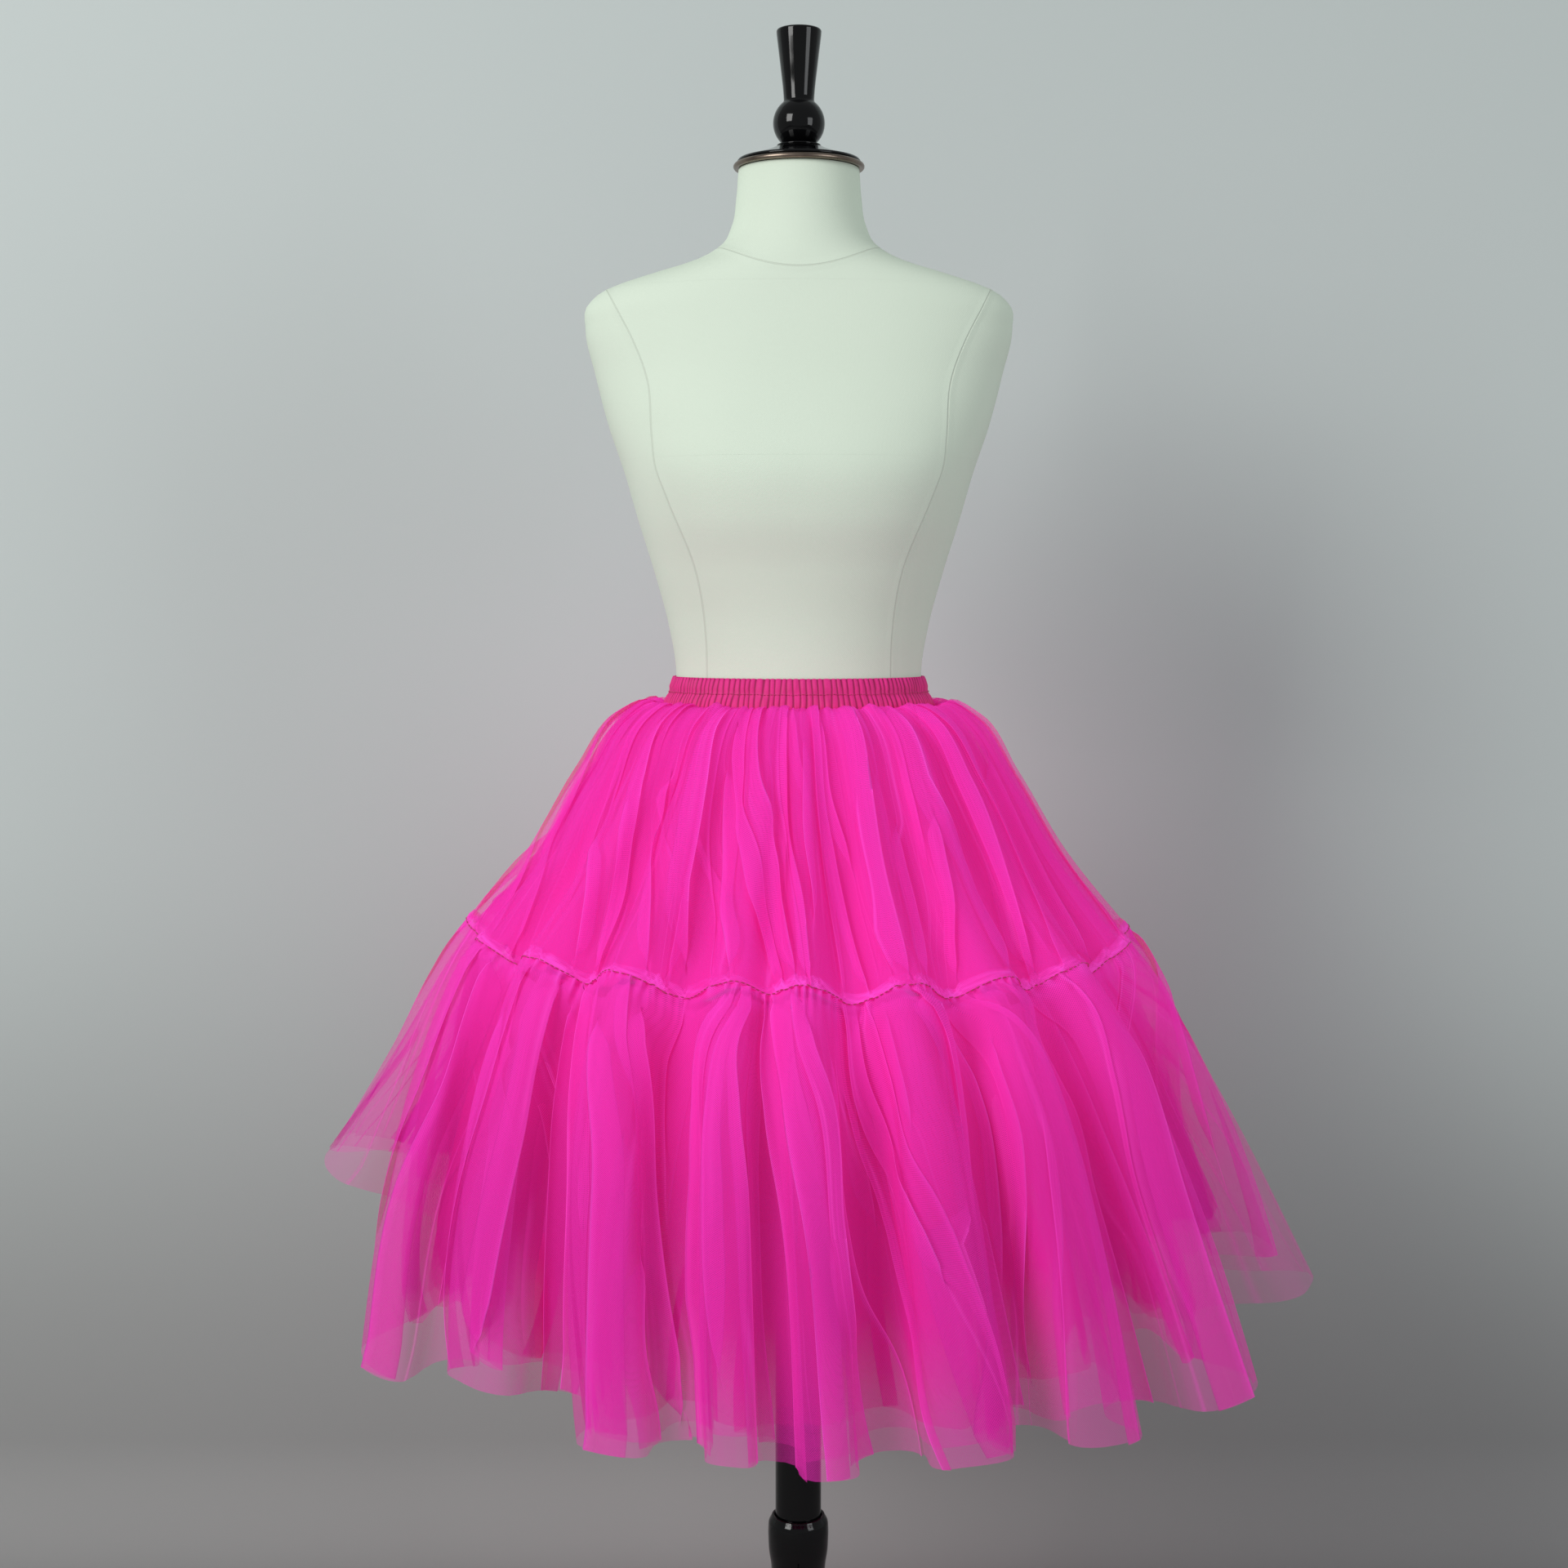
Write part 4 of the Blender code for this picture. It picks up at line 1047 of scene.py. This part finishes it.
def make_seam(upper, outward, tree, materials):
    """The turned-up allowance over the seam between the tiers, and the stitches under it."""
    around = np.linspace(0, 2 * pi, upper.shape[1], endpoint=False)
    random = np.random.RandomState(21)
    seam, above = upper[-1], upper[-2]
    up = unit(above - seam)
    wander = 1 + 0.30 * wandering(around, (13, 29, 71, 118), np.random.RandomState(22))
    patchy = wandering(around, (9, 17, 31, 52), np.random.RandomState(23))
    lines, covers = [], []
    for share in 1 - np.arange(HEADING_ROWS) / (HEADING_ROWS - 1):
        crinkle = wandering(around, (61, 97, 143, 211, 307), random) * 0.5
        stand = 0.0007 + 0.0010 * np.sin(pi * min(share + 0.15, 1.0)) + 0.0012 * share * crinkle
        lines.append(seam + up * (HEADING_HEIGHT * share * wander)[:, None] + outward[-1] * stand[:, None])
        covers.append(np.clip(0.54 + 0.30 * crinkle + 0.20 * patchy, 0.1, 1) * (1 - 0.45 * share**2))
    points, cover = np.array(lines), np.array(covers)
    arc, total = arc_along(points)
    cloth = np.linspace(-HEADING_HEIGHT, 0.0, HEADING_ROWS)[:, None] * np.ones((1, points.shape[1]))
    mesh = ring_mesh("seam_heading", points, np.append(arc[-1], total[-1]), cloth)
    set_attribute(mesh, "cover", cover)
    # The heading's net is denser and carries a painted highlight where it lies thickest.
    set_attribute(mesh, "density_and_highlight", np.clip(0.9 * cover - 0.16, 0, 0.5))
    set_attribute(mesh, "behind", np.zeros(cover.shape))
    heading = link("seam_heading", mesh, materials["tulle"])
    ride_form(heading, "tulle")

    line = upper[-1] + outward[-1] * 0.0016
    wander = 0.0012 * wandering(around, (11, 37, 83), random)
    line = line + up * wander[:, None]
    stitches = baked("seam_stitches", path_mesh("seam_path", line), tree, materials["thread"],
                     Pitch=0.0050, Length=0.0042, Thickness=0.0012, Seed=5, Thread=materials["thread"])
    ride_form(stitches, "tulle")


# ---------------------------------------------------------------- the waistband
BAND_COLUMNS = 1392
BAND_ROWS = 22


def make_band_tree():
    """A gathered band round the waist: a tube of cloth with ribs outside, pinched by a stitch line."""
    tree, given, ends = new_group(
        "band_gathers",
        "GeometryNodeTree",
        [("Geometry", GEOMETRY), ("Gathers", FLOAT, 134.0), ("Depth", FLOAT, 0.0013),
         ("Wall", FLOAT, BAND_WALL), ("Height", FLOAT, BAND_HEIGHT), ("Flare", FLOAT, BAND_FLARE),
         ("Half Width", FLOAT, WAIST_HALF_WIDTH), ("Half Depth", FLOAT, WAIST_HALF_DEPTH),
         ("Top", FLOAT, WAIST_TOP), ("Pinch", FLOAT, 0.0010), ("Seed", FLOAT, 3.0),
         ("Cloth", "NodeSocketMaterial")],
        [("Geometry", GEOMETRY)],
    )
    sizes = {"Size X": 1.0, "Size Y": 1.0, "Vertices X": BAND_COLUMNS + 1, "Vertices Y": BAND_ROWS}
    grid = place(tree, "GeometryNodeMeshGrid", sizes).outputs["Mesh"]
    x, y, _ = split(tree, place(tree, "GeometryNodeInputPosition").outputs["Position"])
    round_share = x + 0.5
    over = y + 0.5  # 0 inside at the lower edge, 0.5 at the top, 1 outside again
    angle = round_share * (2 * pi)
    side, ahead = calc(tree, "SINE", angle), calc(tree, "COSINE", angle)
    low = abs(over * 2.0 - 1.0)
    outside = ramped(tree, over, 0.455, 0.545) * ramped(tree, over, 0.96, 1.0, 1.0, 0.0)

    def wander(turns, rise, shift):
        return noise(tree, joined(tree, side * turns, ahead * turns, low * rise + (given["Seed"] + shift)))

    phase = round_share * given["Gathers"] + (wander(9.0, 0.7, 0.0) * 1.3 - 0.65)
    rib = calc(tree, "POWER", abs(calc(tree, "SINE", phase * pi)), 0.8)
    stronger = ramped(tree, wander(22.0, 1.6, 7.0), 0.3, 0.7, 0.6, 1.3)
    free = ramped(tree, abs(low - 0.5), 0.0, 0.2)
    ribs = rib * stronger * ((low * 0.45 + 0.75) * given["Depth"]) * (free * 0.7 + 0.3)
    proud = ribs + given["Wall"] - (1.0 - free) * given["Pinch"]
    off = proud * outside + (low * given["Flare"] + BAND_CLEARANCE)
    scallop = rib * 0.0007 * (1.0 - low)
    high = given["Top"] - low * given["Height"] + (scallop - 0.0004)
    spot = joined(tree, (given["Half Width"] + off) * side, (given["Half Depth"] + off) * (ahead * -1.0), high)
    settings = {"data_type": "FLOAT", "domain": "POINT"}
    # rib is kept on the points for the cloth's painted shade between its ribs.
    band = after(tree, "GeometryNodeStoreNamedAttribute", grid, {"Name": "rib", "Value": rib}, **settings)
    band = after(tree, "GeometryNodeSetPosition", band, {"Position": spot})
    band = after(tree, "GeometryNodeMergeByDistance", band, {"Distance": 1e-5})
    band = after(tree, "GeometryNodeSetShadeSmooth", band)
    band = after(tree, "GeometryNodeRealizeInstances", band)
    feed(tree, after(tree, "GeometryNodeSetMaterial", band, {"Material": given["Cloth"]}), ends["Geometry"])
    return tree


def make_waistband(stitch_tree, materials):
    cloth = materials["waistband"]
    band = baked("waistband_gathers", bpy.data.meshes.new("band_seed"), make_band_tree(), cloth, Cloth=cloth)
    close_mesh(band.data, merge=True)
    ride_form(band, "waistband", "waistband")

    angle = np.linspace(0, 2 * pi, 700, endpoint=False)
    random = np.random.RandomState(31)
    off = BAND_CLEARANCE + BAND_FLARE / 2 + BAND_WALL + 0.0002
    height = WAIST_TOP - BAND_HEIGHT / 2 + 0.0004 * wandering(angle, (9, 31, 57), random)
    half_width, half_depth = WAIST_HALF_WIDTH + off, WAIST_HALF_DEPTH + off
    line = np.stack([half_width * np.sin(angle), -half_depth * np.cos(angle), height], axis=-1)
    stitches = baked("band_stitches", path_mesh("band_path", line), stitch_tree, materials["thread"],
                     Pitch=0.0032, Length=0.0025, Thickness=0.0007, Seed=8, Thread=materials["thread"])
    ride_form(stitches, "waistband")


# ---------------------------------------------------------------- the form
def make_form(materials):
    height, half_width, front, back, squareness = (values[::-1] for values in columns_of(FORM_SECTIONS))
    levels = np.linspace(height[-1], height[0], FORM_ROWS)[:, None]
    turns = np.linspace(0, 2 * pi, FORM_COLUMNS, endpoint=False)[None, :]
    wide, ahead, behind, square = (
        smooth_curve(height, values, levels) for values in (half_width, front, back, squareness)
    )
    side, facing = np.sin(turns), np.cos(turns)
    x = wide * squared(side, square)
    y = -np.where(facing >= 0, ahead, behind) * squared(facing, square)
    z = np.broadcast_to(WAIST_TOP + levels, x.shape)
    mesh = ring_mesh("jersey_cover", np.stack([x, y, z], axis=-1))

    seam_height, seam_half = (values[::-1] for values in columns_of(FRONT_SEAMS))
    seam = smooth_curve(seam_height, seam_half, np.clip(levels, seam_height[0], seam_height[-1]))
    set_attribute(mesh, "front_seam", np.abs(x) - seam + np.where(levels > seam_height[-1], 1.0, 0.0))
    set_attribute(mesh, "back_seam", np.where(facing < 0, x, 1.0))
    set_attribute(mesh, "side_seam", y - SIDE_SEAM_AT + np.where(levels < SIDE_SEAM_TOP, 0.0, 1.0))
    ring = np.where(facing >= 0, NECK_SEAM_FRONT, NECK_SEAM_BACK)
    ring = ring + (NECK_SEAM_SIDE - ring) * np.clip(np.abs(x) / NECK_SEAM_HALF, 0, 1) ** 2
    set_attribute(mesh, "neck_seam", levels - ring)
    top = np.arange(FORM_COLUMNS)
    close_mesh(mesh, rims=(top, (FORM_ROWS - 1) * FORM_COLUMNS + top[::-1]))
    ride_form(link("jersey_cover", mesh, materials["form_jersey"]), "form_jersey", "form_body")


# ---------------------------------------------------------------- turned pieces
def arc(centre_radius, centre_height, size, first, last, count):
    """Points on an arc of a profile; 90 degrees is up and 0 is outwards."""
    angles = np.radians(np.linspace(first, last, count + 1))
    return [(centre_radius + size * cos(a), centre_height + size * sin(a)) for a in angles]


def flowing(points, steps):
    """A smooth run through the points of a profile."""
    points = np.array(points)
    at = np.append(0.0, np.cumsum(np.linalg.norm(np.diff(points, axis=0), axis=1)))
    where = np.linspace(0.0, at[-1], steps)
    return [tuple(row) for row in np.stack([smooth_curve(at, points[:, k], where) for k in (0, 1)], axis=-1)]


def turned(name, profile, material):
    """A turned piece: profile is (radius, height) points down its outer side, from axis to axis."""
    profile = np.array(profile)
    angle = np.linspace(0, 2 * pi, TURNED_STEPS, endpoint=False)
    radius, height = profile[:, :1], profile[:, 1:]
    points = on_ring(angle[None, :], radius, height + 0 * angle[None, :])
    mesh = ring_mesh(name, points)
    close_mesh(mesh, merge=True)
    mesh.set_sharp_from_angle(angle=radians(40))
    return link(name, mesh, material)


CAP_LIP = 0.0050
CAP_RADIUS = 0.0607
CAP_HEIGHT = 0.0150
CAP_SEAT_RADIUS = 0.0225
FINIAL_HEIGHT = 0.1064
BALL_RADIUS = 0.0240


def make_cap_and_finial(materials):
    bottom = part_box("cap_lip")[0].z
    top = bottom + CAP_LIP
    lip = [(0.0, top), (CAP_RADIUS - 0.0030, top)]
    lip += arc(CAP_RADIUS - 0.0025, bottom + 0.0025, 0.0025, 80, -90, 10)
    lip += [(CAP_RADIUS - 0.0045, bottom + 0.0003), (CAP_RADIUS - 0.0050, bottom), (0.0, bottom)]
    piece = turned("bronze_lip", lip, materials["bronze"])
    ride_form(piece, "bronze", "cap_lip")

    bottom = top + SEAM_GAP
    seat = bottom + CAP_HEIGHT
    rim = CAP_RADIUS - 0.0035
    slope = [(CAP_SEAT_RADIUS + (rim - CAP_SEAT_RADIUS) * s, seat - (CAP_HEIGHT - 0.0030) * s**0.8)
             for s in np.linspace(0.03, 0.97, 16)]
    dome = [(0.0, seat), (CAP_SEAT_RADIUS - 0.0010, seat)] + slope
    dome += arc(rim - 0.0012, bottom + 0.0016, 0.0012, 70, -60, 6) + [(rim - 0.0012, bottom), (0.0, bottom)]
    ride_form(turned("lacquered_cap", dome, materials["black_lacquer"]), "black_lacquer", "neck_cap")

    foot = seat + SEAM_GAP
    top = foot + FINIAL_HEIGHT
    ball = foot + 0.0215
    profile = [(0.0, top - 0.0006), (0.0120, top - 0.0004), (0.0175, top)]
    profile += arc(0.0186, top - 0.0022, 0.0022, 90, -10, 8)
    profile += flowing([(0.0205, top - 0.0060), (0.0172, top - 0.0330), (0.0143, top - 0.0600),
                        (0.0141, top - 0.0640)], 14)
    profile += arc(0.0, ball, BALL_RADIUS, 52, -52, 28)
    profile += [(0.0165, foot + 0.0024), (0.0185, foot + 0.0020)]
    profile += arc(0.0195, foot + 0.0010, 0.0010, 80, -80, 6) + [(0.0190, foot), (0.0, foot)]
    ride_form(turned("lacquered_finial", profile, materials["black_lacquer"]), "black_lacquer", "finial")


def make_stand(materials):
    lacquer = materials["black_lacquer"]
    low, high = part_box("pole")
    edge = 0.0008
    profile = [(0.0, high.z), (POLE_RADIUS - edge, high.z), (POLE_RADIUS, high.z - edge)]
    profile += [(POLE_RADIUS, low.z + edge), (POLE_RADIUS - edge, low.z), (0.0, low.z)]
    ride_form(turned("lacquered_pole", profile, lacquer), "black_lacquer", "pole", body="pole")

    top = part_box("post")[1].z
    bore, floor = POLE_RADIUS + 0.0005, 0.026
    profile = [(0.0, floor), (bore, floor), (bore, top - 0.0006), (bore + 0.0006, top)]
    profile += arc(0.0243, top - 0.0014, 0.0014, 90, 10, 5)
    profile += flowing([(0.0262, top - 0.0022), (0.0284, top - 0.0062), (0.0291, top - 0.0120),
                        (0.0291, 0.2250), (0.0286, 0.2150), (0.0262, 0.1980), (0.0258, 0.1850),
                        (0.0290, 0.1680), (0.0345, 0.1560)], 36)
    profile += flowing([(0.0350, 0.1500), (0.0350, 0.1100), (0.0350, 0.0700)], 8)
    profile += flowing([(0.0330, 0.0620), (0.0270, 0.0500), (0.0262, 0.0420), (0.0285, 0.0340),
                        (0.0270, 0.0250), (0.0200, 0.0190), (0.0, 0.0170)], 24)
    ride_form(turned("lacquered_post", profile, lacquer), "black_lacquer", "post", body="stand")


LEG_SECTIONS = (
    # reach, height, half_width, half_thickness
    (0.0353, 0.1120, 0.0110, 0.0220),
    (0.0560, 0.1200, 0.0110, 0.0195),
    (0.0850, 0.1190, 0.0110, 0.0165),
    (0.1150, 0.1060, 0.0108, 0.0145),
    (0.1450, 0.0830, 0.0105, 0.0130),
    (0.1720, 0.0570, 0.0105, 0.0120),
    (0.1980, 0.0290, 0.0110, 0.0115),
    (0.2270, 0.0112, 0.0125, 0.0115),
    (0.2500, 0.0110, 0.0145, 0.0125),
    (0.2600, 0.0090, 0.0125, 0.0090),
    (0.2665, 0.0070, 0.0070, 0.0050),
)
LEG_COUNT = 3
LEG_STEPS = 60
LEG_SIDES = 32
LEG_SQUARENESS = 3.0


def make_legs(materials):
    """Sweeping legs with softly squared sections, each flat on the floor under its foot."""
    reach, height, half_width, half_thick = columns_of(LEG_SECTIONS)
    along = np.linspace(reach[0], reach[-1], LEG_STEPS)
    rise, wide, thick = (smooth_curve(reach, values, along) for values in (height, half_width, half_thick))
    slope = np.arctan(np.gradient(rise, along)) * eased((along - reach[0]) / 0.02)
    turn = 2 * pi * np.arange(LEG_SIDES) / LEG_SIDES
    side, up = squared(np.cos(turn), LEG_SQUARENESS), squared(np.sin(turn), LEG_SQUARENESS)
    x = wide[:, None] * side
    y = -(along[:, None] - thick[:, None] * up * np.sin(slope)[:, None])
    z = np.maximum(rise[:, None] + thick[:, None] * up * np.cos(slope)[:, None], 0.0)
    first = np.arange(LEG_SIDES)
    for number in range(LEG_COUNT):
        name = f"lacquered_leg_{number + 1}"
        by = 2 * pi * number / LEG_COUNT
        mesh = ring_mesh(name, np.stack([x * cos(by) - y * sin(by), x * sin(by) + y * cos(by), z], axis=-1))
        close_mesh(mesh, rims=(first, (LEG_STEPS - 1) * LEG_SIDES + first))
        mesh.shade_smooth()
        mesh.set_sharp_from_angle(angle=radians(60))
        piece = link(name, mesh, materials["black_lacquer"])
        ride_form(piece, "black_lacquer", f"leg_{number + 1}", body="stand")


# ---------------------------------------------------------------- stage, light and camera
CAMERA_AT = (-0.0138, -2.16, 1.123)
CAMERA_TILT = 85.6
CAMERA_LENS = 52.69

WALL_AT = 0.55
COVE = 0.12  # radius of the curve from the floor to the wall
STAGE_REACH = 4.0
WALL_HALF_WIDTH = 1.6
WALL_TOP = 2.8
FLOOR_GREY = (0.36, 0.36, 0.36)
WALL_PAINT = (0.60, 0.66, 0.65)
SHADED_FOOT_HEIGHT = 0.9  # height by which the floor's grey has turned into the wall's paint; darker towards the foot, a painted shade


def stage_sheet(name, profile, half_width):
    """A plain sheet through (y, z) points."""
    mesh = bpy.data.meshes.new(name)
    points = [(side, y, z) for y, z in profile for side in (-half_width, half_width)]
    faces = [(2 * k, 2 * k + 1, 2 * k + 3, 2 * k + 2) for k in range(len(profile) - 1)]
    mesh.from_pydata(points, [], faces)
    mesh.shade_smooth()
    made, tree, sockets = new_material(name, FLOOR_GREY, 0.9, Specular_IOR_Level=0.2)
    link(name, mesh, made)
    return tree, sockets


def make_stage():
    stage_sheet("pale_floor", [(-STAGE_REACH, -0.002), (STAGE_REACH, -0.002)], STAGE_REACH)
    curve = [(WALL_AT - COVE + COVE * sin(a), COVE - COVE * cos(a) - 0.001)
             for a in np.radians(np.linspace(0, 90, 13))]
    tree, sockets = stage_sheet("pale_wall", curve + [(WALL_AT, WALL_TOP)], WALL_HALF_WIDTH)
    _, _, height = split(tree, object_place(tree))
    # Painted shade: the wall darkens into the floor's grey towards its foot, so that the two also join without
    # an edge.
    above_shaded_foot = ramped(tree, height, 0.0, SHADED_FOOT_HEIGHT)
    feed(tree, blended(tree, above_shaded_foot, FLOOR_GREY, WALL_PAINT), sockets["Base Color"])
    shown = tree.nodes["Principled BSDF"].outputs["BSDF"]
    clear = place(tree, "ShaderNodeBsdfTransparent").outputs["BSDF"]
    facing = place(tree, "ShaderNodeNewGeometry").outputs["Backfacing"]
    mixed = place(tree, "ShaderNodeMixShader", {0: facing, 1: shown, 2: clear})
    feed(tree, mixed.outputs["Shader"], tree.nodes["Material Output"].inputs["Surface"])


def area_light(name, at, target, size, power, colour):
    data = bpy.data.lights.new(name, "AREA")
    data.shape = "RECTANGLE"
    data.size, data.size_y = size
    data.energy = power
    data.color = colour
    obj = bpy.data.objects.new(name, data)
    obj.location = at
    obj.rotation_euler = (Vector(target) - Vector(at)).to_track_quat("-Z", "Y").to_euler()
    bpy.context.scene.collection.objects.link(obj)


def make_light():
    area_light("window", (-2.3, -2.4, 2.5), (0.0, 0.0, 1.1), (1.5, 1.8), 78.0, (1.0, 1.0, 0.98))
    area_light("room", (2.4, -2.0, 1.6), (0.0, 0.0, 1.0), (1.2, 1.6), 22.0, (0.95, 0.98, 1.0))
    world = bpy.data.worlds.new("studio")
    world.use_nodes = True
    background = world.node_tree.nodes["Background"]
    background.inputs["Color"].default_value = (0.96, 1.0, 1.0, 1.0)
    background.inputs["Strength"].default_value = 0.32
    bpy.context.scene.world = world


def make_camera():
    data = bpy.data.cameras.new("camera")
    data.lens = CAMERA_LENS
    data.sensor_width = 36.0
    camera = bpy.data.objects.new("camera", data)
    camera.location = CAMERA_AT
    camera.rotation_euler = (radians(CAMERA_TILT), 0.0, 0.0)
    bpy.context.scene.collection.objects.link(camera)
    bpy.context.scene.camera = camera
    bpy.context.scene.view_settings.view_transform = "Standard"
    cycles = bpy.context.scene.cycles
    cycles.transparent_max_bounces = 8
    cycles.max_bounces = 5
    cycles.diffuse_bounces = 3
    cycles.glossy_bounces = 2


def main():
    clear_startup_objects()
    materials = make_materials()
    stitch_tree = make_stitch_run()
    make_waistband(stitch_tree, materials)
    creases = {
        "upper_tier_net_1": UPPER_CREASES,
        "upper_tier_net_2": UPPER_BACK_CREASES,
        "lower_tier_net_1": LOWER_CREASES,
        "lower_tier_net_2": LOWER_BACK_CREASES,
    }
    for layer in LAYERS:
        points, outward = make_layer(layer, creases.get(layer.name, ()), materials)
        if layer.name == "upper_tier_net_1":
            make_seam(points, outward, stitch_tree, materials)
    make_form(materials)
    make_cap_and_finial(materials)
    make_stand(materials)
    make_legs(materials)
    make_stage()
    make_light()
    make_camera()


main()
